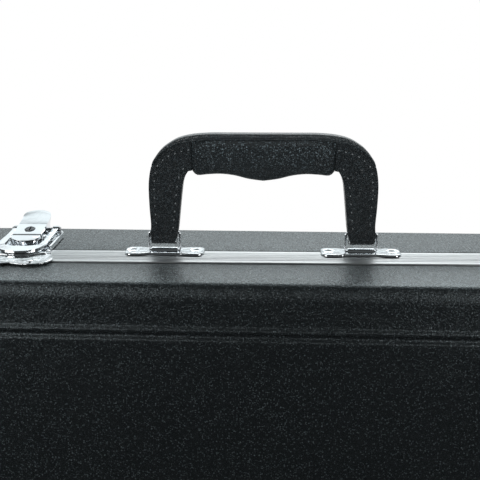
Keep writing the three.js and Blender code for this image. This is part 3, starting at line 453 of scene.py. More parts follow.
def quarter(cx, cz, radius, turn, steps):
    """Points of a quarter circle that starts so many quarter turns after X."""
    angles = [math.pi / 2 * (turn + s / steps) for s in range(steps + 1)]
    return [(cx + radius * math.cos(a), cz + radius * math.sin(a)) for a in angles]


def rounded_box(x0, x1, z0, z1, r, steps):
    """Points round a rectangle with round corners."""
    corners = ((x1 - r, z1 - r), (x0 + r, z1 - r), (x0 + r, z0 + r), (x1 - r, z0 + r))
    return [p for turn, (cx, cz) in enumerate(corners) for p in quarter(cx, cz, r, turn, steps)]


def smoothstep(t):
    t = min(1.0, max(0.0, t))
    return t * t * (3 - 2 * t)


# ------------------------------------------------ shells, with the CAD's loft at a finer step
CORNER_STEPS, PLAIN_STEPS, RAMP_STEPS = 20, 12, 24
EDGE_WIDE, EDGE_TIGHT, EDGE_CHANGE, EDGE_STEPS = 15.0, 4.6, 35.0, 16
# Inset and rise of the face: the raised field, the groove round it and the bead.
FIELD_RING = 36.5
RELIEF = [(60.0, 1.6), (35.2, 1.6), (33.4, -0.1), (31.6, -0.1), (30.0, 1.6), (28.5, 1.6),
          (26.5, 0.0)]
RELIEF_ROUND, SPAN_SHARE = 0.8, 0.45
# Inset, and distance from the middle of the case, of the lip over the shadow gap.
LIP = [(0.0, VALANCE + 2.6), (0.12, VALANCE + 2.25), (0.55, VALANCE + 2.05)]
GAP_INSET, GAP, RIM_Y = 1.9, 2.0, 2.0


def depth(at_handle, slant):
    """Depth of a shell along X: slanted a little, and deeper at the bell."""
    def at(x):
        plain = at_handle + slant * (x - HANDLE_X)
        return plain + (BELL_DEPTH - plain) * smoothstep((x - BELL_START) / BELL_RAMP)

    return at


def outline(inset):
    """Outline of the case in X and Z, so far inside its edge."""
    radius = CORNER - inset
    cx, cz = HALF_LENGTH - CORNER, HALF_HEIGHT - CORNER
    upper = quarter(-cx, cz, radius, 1, CORNER_STEPS)[::-1]
    for s in range(1, PLAIN_STEPS):
        upper.append((-cx + (BELL_START + cx) * s / PLAIN_STEPS, cz + radius))
    for s in range(RAMP_STEPS + 1):
        upper.append((BELL_START + BELL_RAMP * s / RAMP_STEPS, cz + radius))
    upper += quarter(cx, cz, radius, 0, CORNER_STEPS)[::-1]
    return upper + [(x, -z) for x, z in reversed(upper)]


def loft(rings, closed):
    """Outlines at an inset each, with Y as a function of X, joined and closed or capped."""
    verts = [(x, y(x), MID_Z + z) for inset, y in rings for x, z in outline(inset)]
    count = len(verts) // len(rings)
    faces = band(len(rings), count, closed=closed)
    if not closed:
        end = (len(rings) - 1) * count
        for i in range(count // 2 - 1):
            across = count - 1 - i
            faces.append((i, across, across - 1, i + 1))
            faces.append((end + i, end + i + 1, end + across - 1, end + across))
    return verts, faces


def rounded_steps(points, radius, steps=3):
    """Rounds the corners of a profile of insets and rises."""
    out = [points[0]]
    for before, here, after in zip(points, points[1:], points[2:]):
        here = Vector(here)
        a, b = Vector(before) - here, Vector(after) - here
        r = min(radius, a.length * SPAN_SHARE, b.length * SPAN_SHARE)
        start, end = here + a.normalized() * r, here + b.normalized() * r
        for s in range(steps + 1):
            t = s / steps
            out.append(tuple(start * (1 - t) ** 2 + here * 2 * t * (1 - t) + end * t * t))
    out.append(points[-1])
    return out


def soft_edge():
    """Inset and rise round the edge: a wide arc off the face, then a tight one to the side."""
    angles = [math.pi / 2 * s / EDGE_STEPS for s in range(EDGE_STEPS + 1)]
    points = [(0.0, 0.0)]
    for a, b in zip(angles, angles[1:]):
        r = EDGE_WIDE if (a + b) / 2 < math.radians(EDGE_CHANGE) else EDGE_TIGHT
        inset, rise = points[-1]
        points.append((inset - r * (math.sin(b) - math.sin(a)),
                       rise - r * (math.cos(a) - math.cos(b))))
    last = points[-1][0]
    return [(inset - last, rise) for inset, rise in points]


def level(value):
    """The same value all along a line."""
    return lambda place: value


def shell(node, side, at, finish, body):
    """One half of the case: its face with the relief, the soft edge, the lip and the inside."""
    def face(rise):
        return lambda x: side * (VALANCE + at(x) + rise)

    edge = soft_edge()
    relief = rounded_steps(RELIEF + [(edge[0][0], 0.0)], RELIEF_ROUND)
    relief[0] = (FIELD_RING, RELIEF[0][1])
    sides = LIP + [(GAP_INSET, VALANCE + GAP), (GAP_INSET, RIM_Y), (WALL, RIM_Y)]
    rings = [(inset, face(rise)) for inset, rise in relief[:-1] + edge]
    rings += [(inset, level(side * y)) for inset, y in sides]
    rings += [(WALL, face(-EDGE)), (EDGE, face(-WALL))]
    form(node, *loft(rings, closed=False), finish, body, sharp=40.0)


shell("base_shell", 1, depth(BASE_DEPTH, -SLANT), BASE_SHELL, "base")
shell("lid_shell", -1, depth(LID_DEPTH, SLANT), LID_SHELL, "lid")

# Inset, and distance from the parting plane, round the section of a valance: lip, ribs, back.
VALANCE_SKIN = (
    (0.35, 0.2), (0.05, 0.3), (-0.1, 0.6), (-0.15, 1.5), (-0.42, 1.8), (-0.5, 2.2),
    (-0.5, 3.2), (-0.38, 3.5), (-0.12, 3.75), (-0.12, 4.2), (-0.38, 4.5), (-0.5, 4.8),
    (-0.5, 6.2), (-0.38, 6.5), (-0.12, 6.75), (-0.12, 7.2), (-0.38, 7.5), (-0.5, 7.8),
    (-0.5, 9.0), (-0.40, 9.3), (-0.30, 9.5), (-0.40, 9.8), (-0.5, 10.2), (-0.5, 11.2),
    (-0.42, 11.6), (-0.2, 11.9), (0.2, 12.0), (0.7, 12.0), (0.7, 1.7), (5.0, 1.7), (5.0, 0.2),
)


def valance(node, side, body):
    """Aluminium section bent round the rim of a shell."""
    rings = [(inset, level(side * y)) for inset, y in VALANCE_SKIN]
    form(node, *loft(rings, closed=True), ALUMINIUM, body, sharp=50.0)


valance("base_valance", 1, "base")
valance("lid_valance", -1, "lid")

# ------------------------------------------------ fittings from their CAD forms
TAB_HALF, TAB_START, TAB_END = 9.9, 35.5, 54.8
TAB_PULL, TAB_SLOPE = 5.2, 0.25
TAB_CUTS = (-8.6, -7.0, -5.0, -2.5, 0.0, 2.5, 5.0, 7.0, 8.6)


def arched_tab(centre):
    """Draws the corners of a lever's finger tab back, so that its end is one arch."""
    def shape(bm):
        for cut in TAB_CUTS:
            bmesh.ops.bisect_plane(bm, geom=bm.verts[:] + bm.edges[:] + bm.faces[:],
                                   plane_co=((centre + cut) * MM, 0, 0), plane_no=(1, 0, 0))
        for vert in bm.verts:
            share = max(0.0, (vert.co.y / MM - TAB_START) / (TAB_END - TAB_START))
            aside = abs(vert.co.x / MM - centre) / TAB_HALF
            back = TAB_PULL * min(1.0, share) * aside * aside * MM
            vert.co.y -= back
            vert.co.z -= TAB_SLOPE * back

    return shape


# Start and end of a node's name, its finish, and the width and steps of its round edges. The
# first row that fits a name is taken.
FITTINGS = (
    ("latch_", "_pin", STEEL, 0.25, 2),
    ("latch_", "_lock_plug", LOCK, 0.3, 2),
    ("latch_", "_catch", MOTTLED, 0.5, 3),
    ("latch_", "_hasp", PRESSED, 0.5, 3),
    ("latch_", "", CHROME, 0.5, 3),
    ("hinge_", "_pin", STEEL, 0.25, 2),
    ("hinge_", "", CHROME, 0.3, 2),
    ("handle_clip_", "", CHROME, 0.2, 2),
    ("base_foot_", "", RUBBER, 1.2, 3),
    ("lid_foot_", "", RUBBER, 1.2, 3),
    ("slide_button_screw_", "", CHROME, 0.3, 2),
    ("slide_button_", "", PLASTIC, 0.8, 3),
    ("mouthpiece_cup", "", PLASTIC, 0.6, 2),
    ("compartment_pull", "", LEATHER, 0.5, 2),
)
for node in sorted(frame["nodes"]):
    fits = [row for row in FITTINGS if node.startswith(row[0]) and node.endswith(row[1])]
    if fits:
        shape = None
        if node.endswith("_lever"):
            shape = arched_tab(LATCH_X[int(node.split("_")[1]) - 1])
        refined(node, *fits[0][2:], shape)


# ------------------------------------------------ lines of the handle
def on_handle(x, y, z):
    """A point of the handle's own frame, which starts on the top under its middle."""
    return HANDLE_X + x, HANDLE_Y + y, TOP + z


def smooth_line(points, per):
    """Points on one smooth line through the given ones, so many to a span."""
    out = []
    for i in range(len(points) - 1):
        p0, p1 = points[max(i - 1, 0)], points[i]
        p2, p3 = points[i + 1], points[min(i + 2, len(points) - 1)]
        for s in range(per):
            t = s / per
            out.append(tuple(
                0.5 * (2 * b + (c - a) * t + (2 * a - 5 * b + 4 * c - d) * t * t
                       + (3 * b - a - 3 * c + d) * t ** 3)
                for a, b, c, d in zip(p0, p1, p2, p3)
            ))
    out.append(tuple(points[-1]))
    return out


def heading(line, i, back=1, ahead=1):
    """Direction of a line at one of its points."""
    (x0, z0), (x1, z1) = line[max(i - back, 0)], line[min(i + ahead, len(line) - 1)]
    length = math.hypot(x1 - x0, z1 - z0)
    return (x1 - x0) / length, (z1 - z0) / length


def inward(line, distances):
    """The line moved to its right-hand side, by one distance for each point."""
    out = []
    for i, ((x, z), distance) in enumerate(zip(line, distances)):
        dx, dz = heading(line, i)
        out.append((x + distance * dz, z - distance * dx))
    return out


def handle_shares(*shares):
    """Points given as shares of half the handle's width and of its height."""
    return [(HALF_WIDTH * x, RISE * z) for x, z in shares]


HALF_WIDTH, RISE = 74.9, 81.3
LEG_HALF, LEG_ROUND, LEG_END = 4.0, 1.3, 13.5
# Edges of a leg and the underside of the grip, from the photograph.
OUTER = smooth_line(handle_shares(
    (0, 1), (0.15, 1), (0.3, 1), (0.47, 0.999), (0.62, 0.987), (0.738, 0.959), (0.825, 0.914),
    (0.88, 0.874), (0.93, 0.817), (0.968, 0.745), (0.99, 0.66), (1, 0.56), (0.998, 0.4),
    (0.991, 0.25)) + [(75.05, LEG_END)], 8)
INNER = smooth_line([(56.75, LEG_END)] + handle_shares(
    (0.744, 0.25), (0.726, 0.4), (0.708, 0.54), (0.696, 0.61), (0.677, 0.66), (0.65, 0.7)), 6)
LEG_FOOT = [(74.6, 11.4), (73.6, 9.0), (72.6, 8.1), (59.2, 8.1), (58.2, 9.0), (57.2, 11.4)]
GRIP_UNDER = smooth_line(handle_shares(
    (0, 0.624), (0.128, 0.64), (0.25, 0.668), (0.371, 0.68), (0.48, 0.675), (0.572, 0.667),
    (0.6175, 0.7)), 8)
STRAP_THICK, STRAP_THIN = 3.6, 0.25
STRAP_END = 60.5
FADE_START, FADE_LENGTH, FADE_POWER, FADE_BELOW = 48.0, 25.0, 0.8, 62.0
FIT = 0.12
LEG_SEAM, LEG_SEAM_HIGH, LEG_SEAM_LOW, LEG_TOP_FROM = 46.15, 77.5, 57.3, 47.0


def strap_thickness(x, z):
    """Full over the top, fading out on the shoulder."""
    thickness = STRAP_THICK
    if z < FADE_BELOW:
        thickness = 0.0
    elif x >= FADE_START:
        thickness *= max(0.0, 1.0 - (x - FADE_START) / FADE_LENGTH) ** FADE_POWER
    return max(STRAP_THIN, thickness)


STRAP_LINE = [p for p in OUTER if p[1] >= STRAP_END]
THICKNESS = [strap_thickness(x, z) for x, z in STRAP_LINE]
STRAP_LOW = inward(STRAP_LINE, THICKNESS)
LEG_TOP = inward(STRAP_LINE, [t + FIT for t in THICKNESS])
LEG_OUTLINE = (
    [(LEG_SEAM, LEG_SEAM_HIGH)] + [p for p in LEG_TOP if p[0] > LEG_TOP_FROM]
    + [p for p in OUTER if p[1] < STRAP_END] + LEG_FOOT + INNER + [(LEG_SEAM, LEG_SEAM_LOW)])


# ------------------------------------------------ handle
def leg(side, word):
    """Leg with its outline in X and Z, rounded over at both faces."""
    count = len(LEG_OUTLINE)
    verts = [on_handle(side * x, y, z) for y in (-LEG_HALF, LEG_HALF) for x, z in LEG_OUTLINE]
    faces = [cap(0, count), cap(1, count)[::-1]]
    faces += [(i, i + count, (i + 1) % count + count, (i + 1) % count) for i in range(count)]
    obj = form(f"handle_leg_{word}", verts, faces, LEATHER, "handle", sharp=60.0)
    rounded(obj, LEG_ROUND, segments=4, angle=45.0)


for side, word in SIDES:
    leg(side, word)

# Y, and share of the thickness, round the strap's section.
STRAP_SECTION = (
    (-4.4, 0.1), (-4.5, 0.35), (-4.4, 0.7), (-3.9, 0.92), (-2.6, 1.0), (0.0, 1.0), (2.6, 1.0),
    (3.9, 0.92), (4.4, 0.7), (4.5, 0.35), (4.4, 0.1), (3.9, 0.0), (0.0, 0.0), (-3.9, 0.0),
)


def strap():
    """Leather strap over the top: one rounded section swept from shoulder to shoulder."""
    right = list(zip(STRAP_LINE, STRAP_LOW))
    left = [((-ox, oz), (-ix, iz)) for (ox, oz), (ix, iz) in reversed(right)]
    stations = left + right[1:]
    verts = [on_handle(ix + (ox - ix) * t, y, iz + (oz - iz) * t)
             for (ox, oz), (ix, iz) in stations for y, t in STRAP_SECTION]
    sides, last = len(STRAP_SECTION), len(stations) - 1
    faces = band(last + 1, sides) + [cap(0, sides), cap(last, sides)]
    form("handle_strap", verts, faces, STRAP, "handle", sharp=60.0)


strap()

GRIP_SEAM, GRIP_STATIONS, GRIP_SIDES = 46.0, 56, 32
GRIP_HALF_AT_SEAM, GRIP_SWELL, SWELL_SHARE = 4.7, 4.6, 0.30
GRIP_SQUARENESS, SWELL_POWER, CEILING_PAST = 0.52, 0.5, 4.0


def height_at(line, x):
    """Height of a line that runs towards larger X."""
    for (x0, z0), (x1, z1) in zip(line, line[1:]):
        if x0 <= x <= x1:
            return z0 + (z1 - z0) * (x - x0) / max(x1 - x0, 1e-6)
    return line[-1][1]


def grip():
    """Padded grip: a crowned section that narrows into the seam at each end."""
    ceiling = [(x, z) for x, z in STRAP_LOW if x <= GRIP_SEAM + CEILING_PAST]
    verts = []
    for s in range(GRIP_STATIONS + 1):
        x = -GRIP_SEAM + 2 * GRIP_SEAM * s / GRIP_STATIONS
        from_seam = (GRIP_SEAM - abs(x)) / GRIP_SEAM
        swell = min(1.0, from_seam / SWELL_SHARE) ** SWELL_POWER
        half = GRIP_HALF_AT_SEAM + GRIP_SWELL * swell
        low, high = height_at(GRIP_UNDER, abs(x)), height_at(ceiling, abs(x)) - FIT
        mid, rise = (low + high) / 2, (high - low) / 2
        for c, q in circle(GRIP_SIDES):
            verts.append(on_handle(x, half * math.copysign(abs(c) ** GRIP_SQUARENESS, c),
                                   mid + rise * math.copysign(abs(q) ** GRIP_SQUARENESS, q)))
    faces = band(GRIP_STATIONS + 1, GRIP_SIDES)
    faces += [cap(0, GRIP_SIDES), cap(GRIP_STATIONS, GRIP_SIDES)]
    obj = form("handle_grip", verts, faces, GRIP, "handle", sharp=70.0)


grip()

STITCH_LENGTH, STITCH_WIDTH, STITCH_RISE, STITCH_SUNK = 1.3, 0.8, 0.34, 0.12
STITCH_SIDES = 5
# Place along a stitch, and shares of its width and of its rise.
STITCH_RINGS = ((-0.5, 0.35, 0.0), (-0.3, 0.85, 0.8), (0.0, 1.0, 1.0), (0.3, 0.85, 0.8),
                (0.5, 0.35, 0.0))
# The rows of stitches: where each starts or ends, its distance from the edge and its pitch.
OUTER_FROM_X, OUTER_TO_Z, OUTER_PITCH, OUTER_START = 49.5, 18.5, 5.75, 0.6
INNER_TO_Z, INNER_INSET, INNER_PITCH, INNER_START = 17.0, 3.5, 5.6, 1.0
OUTER_INSET, SHOULDER_INSET, SHOULDER_LOW, SHOULDER_HIGH = 3.6, 9.0, 62.0, 80.0


def outer_inset(z):
    """Further from the edge over the shoulder, to stay below the strap."""
    share = max(0.0, min(1.0, (z - SHOULDER_LOW) / (SHOULDER_HIGH - SHOULDER_LOW)))
    return OUTER_INSET + (SHOULDER_INSET - OUTER_INSET) * share


def row(line, offset, pitch, start):
    """Places and directions at an even pitch, at a distance inside a line."""
    out, travelled, due = [], 0.0, start
    for i, ((x0, z0), (x1, z1)) in enumerate(zip(line, line[1:])):
        length = math.hypot(x1 - x0, z1 - z0)
        dx, dz = heading(line, i, back=2, ahead=3)
        while length > 0 and travelled + length >= due:
            t = (due - travelled) / length
            inset = offset(z0)
            out.append((x0 + (x1 - x0) * t + inset * dz, z0 + (z1 - z0) * t - inset * dx, dx, dz))
            due += pitch
        travelled += length
    return out


def stitches(side, word, places):
    """Small raised stitches on both faces of a leg."""
    verts, faces = [], []
    for x, z, dx, dz in places:
        dx *= side
        for outwards in (-1, 1):
            base = len(verts)
            for along, wide, high in STITCH_RINGS:
                for q in range(STITCH_SIDES + 1):
                    a = math.pi * q / STITCH_SIDES
                    across = STITCH_WIDTH / 2 * wide * math.cos(a)
                    lift = (STITCH_SUNK + STITCH_RISE * high) * math.sin(a) - STITCH_SUNK
                    verts.append(on_handle(side * x + dx * along * STITCH_LENGTH - dz * across,
                                           outwards * (LEG_HALF + lift),
                                           z + dz * along * STITCH_LENGTH + dx * across))
            for r in range(len(STITCH_RINGS) - 1):
                for q in range(STITCH_SIDES):
                    a, b = (base + k * (STITCH_SIDES + 1) + q for k in (r, r + 1))
                    faces.append((a, a + 1, b + 1, b))
    mesh_object(f"leg_stitches_{word}", verts, faces, THREAD, "handle", sharp=80.0)


ROWS = row([p for p in OUTER if p[0] > OUTER_FROM_X and p[1] > OUTER_TO_Z], outer_inset,
           OUTER_PITCH, OUTER_START)
ROWS += row([p for p in INNER if p[1] > INNER_TO_Z], level(INNER_INSET), INNER_PITCH, INNER_START)
for side, word in SIDES:
    stitches(side, word, ROWS)

PIPING_Y, PIPING_RADIUS, PIPING_LIFT, PIPING_SIDES = 4.25, 0.6, 0.1, 8
PIPING_TIP, PIPING_TAPER = 0.35, 6


def piping():
    """A thin cord of leather along the lower edge of the strap, on both sides."""
    line = [(-x, z) for x, z in reversed(STRAP_LOW[1:])] + STRAP_LOW
    last = len(line) - 1
    verts, faces = [], []
    for y in (-PIPING_Y, PIPING_Y):
        base = len(verts)
        for i, (x, z) in enumerate(line):
            dx, dz = heading(line, i)
            r = PIPING_RADIUS * min(1.0, min(i, last - i) / PIPING_TAPER + PIPING_TIP)
            for c, q in circle(PIPING_SIDES):
                verts.append(on_handle(x - dz * r * c, y + r * q, z + PIPING_LIFT + dx * r * c))
        faces += band(last + 1, PIPING_SIDES, base)
        faces += [cap(0, PIPING_SIDES, base), cap(last, PIPING_SIDES, base)]
    mesh_object("handle_piping", verts, faces, STRAP, "handle", sharp=80.0)


piping()

LOOP_HALF, LOOP_HEIGHT, LOOP_BEND, BEND_STEPS = 10.4, 12.7, 1.6, 6
WIRE, WIRE_SIDES = 0.8, 14


def loop(side, word):
    """Closed wire loop between the bridge of a plate and the clip of a leg."""
    corners = rounded_box(-LOOP_HALF, LOOP_HALF, 0.0, LOOP_HEIGHT, LOOP_BEND, BEND_STEPS)
    path = [Vector(on_handle(side * PLATE_X + x, 0.0, LOOP_AXIS + z)) for x, z in corners]
    across = Vector((0, 1, 0))
    verts = []
    for before, here, after in zip(path[-1:] + path[:-1], path, path[1:] + path[:1]):
        up = (after - before).normalized().cross(across)
        for c, q in circle(WIRE_SIDES):
            verts.append(tuple(here + across * WIRE * q + up * WIRE * c))
    faces = band(len(path), WIRE_SIDES, closed=True)
    form(f"handle_loop_{word}", verts, faces, CHROME, "handle_loops", sharp=80.0)


for side, word in SIDES:
    loop(side, word)

PLATE_HALF_X, PLATE_HALF_Y, PLATE_CORNER = 26.75, 7.9, 5.0
PLATE_LOW, PLATE_HIGH, PLATE_ROLL = 0.8, 2.0, 1.0
WAIST, WAIST_LENGTH, WAIST_STEEP, TIP_HALF = 1.3, 17.0, 2.5, 0.05
DISH_DEPTH, DISH_RADIUS, DISH_WALL = 1.15, 4.5, 1.7
BRIDGE_HALF, BRIDGE_RADIUS, BRIDGE_END = 8.7, 2.1, 0.06
PLATE_COLUMNS, PLATE_ROWS, END_SHARE = 108, 32, 0.25


def plate_width(x):
    """Half the width of a plate: round corners at its ends and a waist in the middle."""
    width = PLATE_HALF_Y
    past = abs(x) - (PLATE_HALF_X - PLATE_CORNER)
    if past > 0:
        width += math.sqrt(max(PLATE_CORNER * PLATE_CORNER - past * past, 0.0)) - PLATE_CORNER
    middle = max(0.0, 1.0 - abs(x) / WAIST_LENGTH)
    return max(width - WAIST * min(1.0, middle * WAIST_STEEP), TIP_HALF)


def plate_height(x, y, rim):
    """Height of a plate's upper face, at so far from its edge."""
    edge = max(0.0, 1.0 - rim / PLATE_ROLL)
    z = PLATE_LOW + (PLATE_HIGH - PLATE_LOW) * math.sqrt(max(0.0, 1.0 - edge * edge))
    for end in (-1, 1):
        from_rivet = math.hypot(x - end * RIVET_X, y)
        z -= DISH_DEPTH * smoothstep((DISH_RADIUS - from_rivet) / DISH_WALL)
    over = BRIDGE_RADIUS * BRIDGE_RADIUS - y * y
    if over > 0 and abs(x) <= BRIDGE_HALF:
        z = max(z, LOOP_AXIS + math.sqrt(over))
    return z


def plate(side, word):
    """Pressed plate: rolled edge, a dish round each rivet and a raised bridge over the loop."""
    xs = []
    for i in range(PLATE_COLUMNS + 1):
        t = 2.0 * i / PLATE_COLUMNS - 1.0
        xs.append(PLATE_HALF_X * (END_SHARE * math.sin(math.pi / 2 * t) + (1 - END_SHARE) * t))
    for end in (-1, 1):
        near = min(range(len(xs)), key=lambda k: abs(xs[k] - end * BRIDGE_HALF))
        xs[near] = end * BRIDGE_HALF
        xs[near + end] = end * (BRIDGE_HALF + BRIDGE_END)
    verts = []
    for x in xs:
        width = plate_width(x)
        for j in range(PLATE_ROWS + 1):
            y = width * math.sin(math.pi / 2 * (2.0 * j / PLATE_ROWS - 1.0))
            z = plate_height(x, y, min(width - abs(y), PLATE_HALF_X - abs(x)))
            verts.append(on_handle(side * PLATE_X + x, y, z))
    m, right = PLATE_ROWS + 1, PLATE_COLUMNS * (PLATE_ROWS + 1)
    faces = [(a + j, a + m + j, a + m + j + 1, a + j + 1)
             for a in range(0, right, m) for j in range(PLATE_ROWS)]
    border = [*range(0, right + m, m), *range(right + 1, right + m),
              *range(right - 1, 0, -m), *range(PLATE_ROWS - 1, 0, -1)]
    under, count = len(verts), len(border)
    verts += [(verts[k][0], verts[k][1], TOP + PLATE_LOW) for k in border]
    for k in range(count):
        after = (k + 1) % count
        faces.append((border[k], border[after], under + after, under + k))
    faces.append(cap(0, count, under))
    form(f"handle_plate_{word}", verts, faces, PRESSED, "base", sharp=50.0)


for side, word in SIDES:
    plate(side, word)

# ------------------------------------------------ rivets and screws
DOME_SIDES, DOME_SUNK, DOME_TIP = 20, 0.2, 0.001


def domes(name, places, radius, height, finish, body, sign=1, rings=5):
    """Low domed heads, each with its foot sunk a little into what carries it."""
    angles = [math.pi / 2 * r / rings for r in range(rings + 1)]
    profile = [(1.0, -DOME_SUNK)]
    profile += [(math.cos(a) * (1 - DOME_TIP) + DOME_TIP, height * math.sin(a)) for a in angles]
    verts, faces = [], []
    for x, y, z in places:
        base = len(verts)
        for share, lift in profile:
            for c, q in circle(DOME_SIDES):
                verts.append((x + radius * share * c, y + radius * share * q, z + sign * lift))
        faces += band(len(profile), DOME_SIDES, base)
        faces.append(cap(len(profile) - 1, DOME_SIDES, base))
    mesh_object(name, verts, faces, finish, body, sharp=60.0)


DISH_FLOOR, LATCH_PLATE = 0.95, TOP + 2.0
PAN_RIVET_X, PAN_RIVET_Y = 18.4, 4.6
CATCH_RIVET_X, CATCH_RIVET_Y = 12.8, -17.4
HINGE_LEAF, HINGE_PITCH, HINGE_Y = 6.5, 20.0, 14.0
FOOT_FACE, FOOT_X = 0.4, 350.0
ENDS = (-1, 1)
domes("handle_rivets",
      [on_handle(side * PLATE_X + end * RIVET_X, 0.0, DISH_FLOOR)
       for side in ENDS for end in ENDS],
      radius=1.5, height=0.4, finish=STEEL, body="base", rings=6)
domes("pan_rivets",
      [(x + end * PAN_RIVET_X, PAN_RIVET_Y, LATCH_PLATE) for x in LATCH_X for end in ENDS],
      radius=1.6, height=0.8, finish=CHROME, body="base")
domes("catch_rivets",
      [(x + end * CATCH_RIVET_X, CATCH_RIVET_Y, LATCH_PLATE) for x in LATCH_X for end in ENDS],
      radius=2.3, height=1.0, finish=CHROME, body="lid")
for body, side in (("base", 1), ("lid", -1)):
    domes(f"hinge_{body}_rivets",
          [(x + k * HINGE_PITCH, side * HINGE_Y, HINGE_LEAF) for x in HINGE_X for k in (-1, 0, 1)],
          radius=2.2, height=0.9, finish=STEEL, body=body, sign=-1)
for body, left_y, right_y in (("base", 48.0, 75.0), ("lid", -32.0, -75.0)):
    domes(f"foot_screws_{body}", [(-FOOT_X, left_y, FOOT_FACE), (FOOT_X, right_y, FOOT_FACE)],
          radius=3.0, height=0.3, finish=STEEL, body=body, sign=-1)

# ------------------------------------------------ plush interior
FOAM_VOXEL, STRETCH, STRETCH_ROUNDS = 4.0, 0.6, 4


def plush_form(node):
    """The CAD solid with the soft corners that foam has under stretched plush."""
    material, slot = PLUSH
    source = frame["nodes"][node]
    mesh = source.data.copy()
    mesh.materials.clear()
    mesh.materials.append(material)
    obj = new_object(node + "_form", mesh)
    remesh = obj.modifiers.new("foam", "REMESH")
    remesh.mode = "VOXEL"
    remesh.voxel_size = FOAM_VOXEL * MM
    remesh.use_smooth_shade = True
    smooth = obj.modifiers.new("stretch", "SMOOTH")
    smooth.factor = STRETCH
    smooth.iterations = STRETCH_ROUNDS
    graph = bpy.context.evaluated_depsgraph_get()
    formed = bpy.data.meshes.new_from_object(obj.evaluated_get(graph))
    obj.modifiers.clear()
    obj.data = formed
    formed.shade_smooth()
    dress(obj, source["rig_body"], node)


plush_form("base_insert")
plush_form("lid_insert")

COVER_X, COVER_Z = (-426.0, -194.0), (56.0, 248.0)
COVER_CORNER, COVER_STEPS = 10.0, 8
# Inset, and Y, of the rings from the back of the cover over its edge to its front.
COVER_RINGS = ((0.0, 5.9), (0.0, 4.2), (0.5, 3.4), (1.6, 3.05), (4.0, 3.0), (7.0, 3.25),
               (9.0, 3.0), (30.0, 3.0), (60.0, 3.0))


def cover():
    """Plush-covered board with a soft edge and a seam pressed in just inside it."""
    mid_x, mid_z = sum(COVER_X) / 2, sum(COVER_Z) / 2
    half_x, half_z = COVER_X[1] - mid_x, COVER_Z[1] - mid_z
    ring = rounded_box(*COVER_X, *COVER_Z, COVER_CORNER, COVER_STEPS)
    verts = [(mid_x + (x - mid_x) * (1 - inset / half_x), y,
              mid_z + (z - mid_z) * (1 - inset / half_z))
             for inset, y in COVER_RINGS for x, z in ring]
    sides, last = len(ring), len(COVER_RINGS) - 1
    faces = band(last + 1, sides) + [cap(last, sides), cap(0, sides)]
    obj = form("compartment_cover", verts, faces, PLUSH, "compartment_cover", sharp=60.0)


cover()

# ------------------------------------------------ camera, matched to the photograph's edges
SENSOR, FOCAL_PIXELS, PHOTO_PIXELS = 36.0, 720.0, 480.0
YAW, PITCH = math.radians(-1.45), math.radians(16.93)
CAMERA_AT = (37.26, -453.83, TOP + 150.25)
camera_data = bpy.data.cameras.new("camera")
camera_data.sensor_width = SENSOR
camera_data.lens = SENSOR * FOCAL_PIXELS / PHOTO_PIXELS
camera_data.clip_start = 0.02
camera_data.clip_end = 50.0
camera = new_object("camera", camera_data)
camera.location = [c * MM for c in CAMERA_AT]
forward = Vector((math.sin(YAW) * math.cos(PITCH), math.cos(YAW) * math.cos(PITCH),
                  -math.sin(PITCH)))
camera.rotation_mode = "QUATERNION"
camera.rotation_quaternion = forward.to_track_quat("-Z", "Y")
bpy.context.scene.camera = camera

# ------------------------------------------------ floor, world and lamps
bpy.context.scene.view_settings.view_transform = "Standard"
WHITE = (1, 1, 1, 1)


def floor_material():
    """Pale floor: white to the camera and to gloss behind the case, dark to gloss before it."""
    n = Material("floor")
    n.set(n.bsdf.inputs["Base Color"], (0.80, 0.80, 0.80, 1.0))
    n.set(n.bsdf.inputs["Roughness"], 0.9)
    ray = n.new("ShaderNodeLightPath").outputs
    behind = n.map_range(n.axis("Y"), (-0.25, 0.35), (0.0, 1.0))
    shown = n.math("MAXIMUM", ray["Is Camera Ray"],
                   n.math("MULTIPLY", ray["Is Glossy Ray"], behind))
    reach = n.new("ShaderNodeVectorMath", operation="LENGTH", Vector=n.place).outputs["Value"]
    far = n.map_range(reach, (0.55, 1.05), (0.78, 1.0))
    glow = n.new("ShaderNodeEmission", Color=WHITE).outputs["Emission"]
    dim = n.new("ShaderNodeBsdfDiffuse", Color=(0.055, 0.057, 0.059, 1.0)).outputs["BSDF"]
    in_front = n.math("MULTIPLY", ray["Is Glossy Ray"], n.math("SUBTRACT", 1.0, behind))
    surface = n.bsdf.outputs["BSDF"]
    for share, shader in ((n.math("MULTIPLY", shown, far), glow), (in_front, dim)):
        mix = n.new("ShaderNodeMixShader", Fac=share)
        n.set(mix.inputs[1], surface)
        n.set(mix.inputs[2], shader)
        surface = mix.outputs["Shader"]
    n.set(n.tree.nodes["Material Output"].inputs["Surface"], surface)
    return n.mat


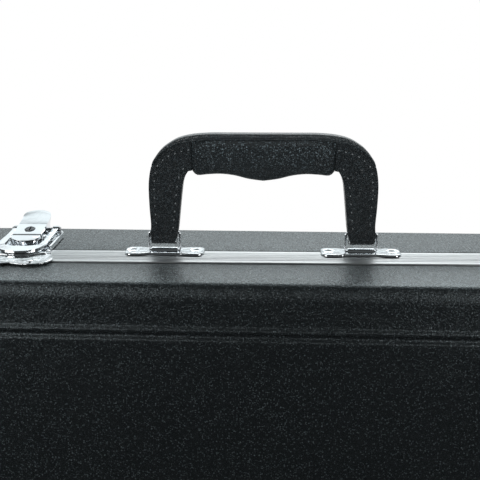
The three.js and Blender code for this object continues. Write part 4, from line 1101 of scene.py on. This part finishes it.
# The case stands at the edge of a low stage, so that the lid can swing down in front of it.
# From here on, lengths are in metres.
STAGE_EDGE, LOW, FAR = 0.016, -0.142, 30
mesh = bpy.data.meshes.new("floor")
mesh.from_pydata(
    [(-FAR, STAGE_EDGE, 0), (FAR, STAGE_EDGE, 0), (FAR, FAR, 0), (-FAR, FAR, 0),
     (-FAR, STAGE_EDGE, LOW), (FAR, STAGE_EDGE, LOW), (FAR, -FAR, LOW), (-FAR, -FAR, LOW)],
    [], [(0, 1, 2, 3), (0, 4, 5, 1), (4, 7, 6, 5)])
mesh.materials.append(floor_material())
floor = new_object("floor", mesh)

# World: a bright sweep behind the case, dimmer above and in front of it, white to the camera.
world = bpy.data.worlds.new("world")
bpy.context.scene.world = world
world.use_nodes = True
w = Nodes(world.node_tree)
SKY = w.coord["Generated"]
sweep = w.map_range(w.axis("Y", SKY), (-0.05, 0.45), (0.0, 1.0), "SMOOTHSTEP")
overhead = w.map_range(w.axis("Z", SKY), (0.80, 0.97), (1.0, 0.55), "SMOOTHSTEP")
horizon = w.map_range(w.axis("Z", SKY), (0.26, 0.37), (0.62, 1.16), "SMOOTHSTEP")
light = w.math("ADD", 0.08, w.math("MULTIPLY", w.math("MULTIPLY", sweep, overhead), horizon))
seen = w.new("ShaderNodeLightPath").outputs["Is Camera Ray"]
tint = w.new("ShaderNodeMix", data_type="RGBA", Factor=seen, A=(0.93, 1.0, 1.02, 1), B=WHITE)
background = w.tree.nodes["Background"]
w.set(background.inputs["Strength"], w.math("MAXIMUM", light, seen))
w.set(background.inputs["Color"], tint.outputs["Result"])

AIM = Vector((0, 0, 0.25))
SIDE_LAMP, TOP_LAMP = (1.1, 0.9), (1.6, 1.2)


def area(name, location, size, power):
    """Rectangular lamp, turned to the case."""
    data = bpy.data.lights.new(name, "AREA")
    data.shape = "RECTANGLE"
    data.size, data.size_y = size
    data.energy = power
    lamp = new_object(name, data)
    lamp.location = location
    lamp.rotation_mode = "QUATERNION"
    lamp.rotation_quaternion = (AIM - Vector(location)).to_track_quat("-Z", "Y")


area("key", (-1.5, -1.5, 0.86), SIDE_LAMP, power=11.5)
area("fill", (1.6, -1.5, 0.72), SIDE_LAMP, power=11.0)
area("top", (0.3, 1.7, 2.0), TOP_LAMP, power=12.0)
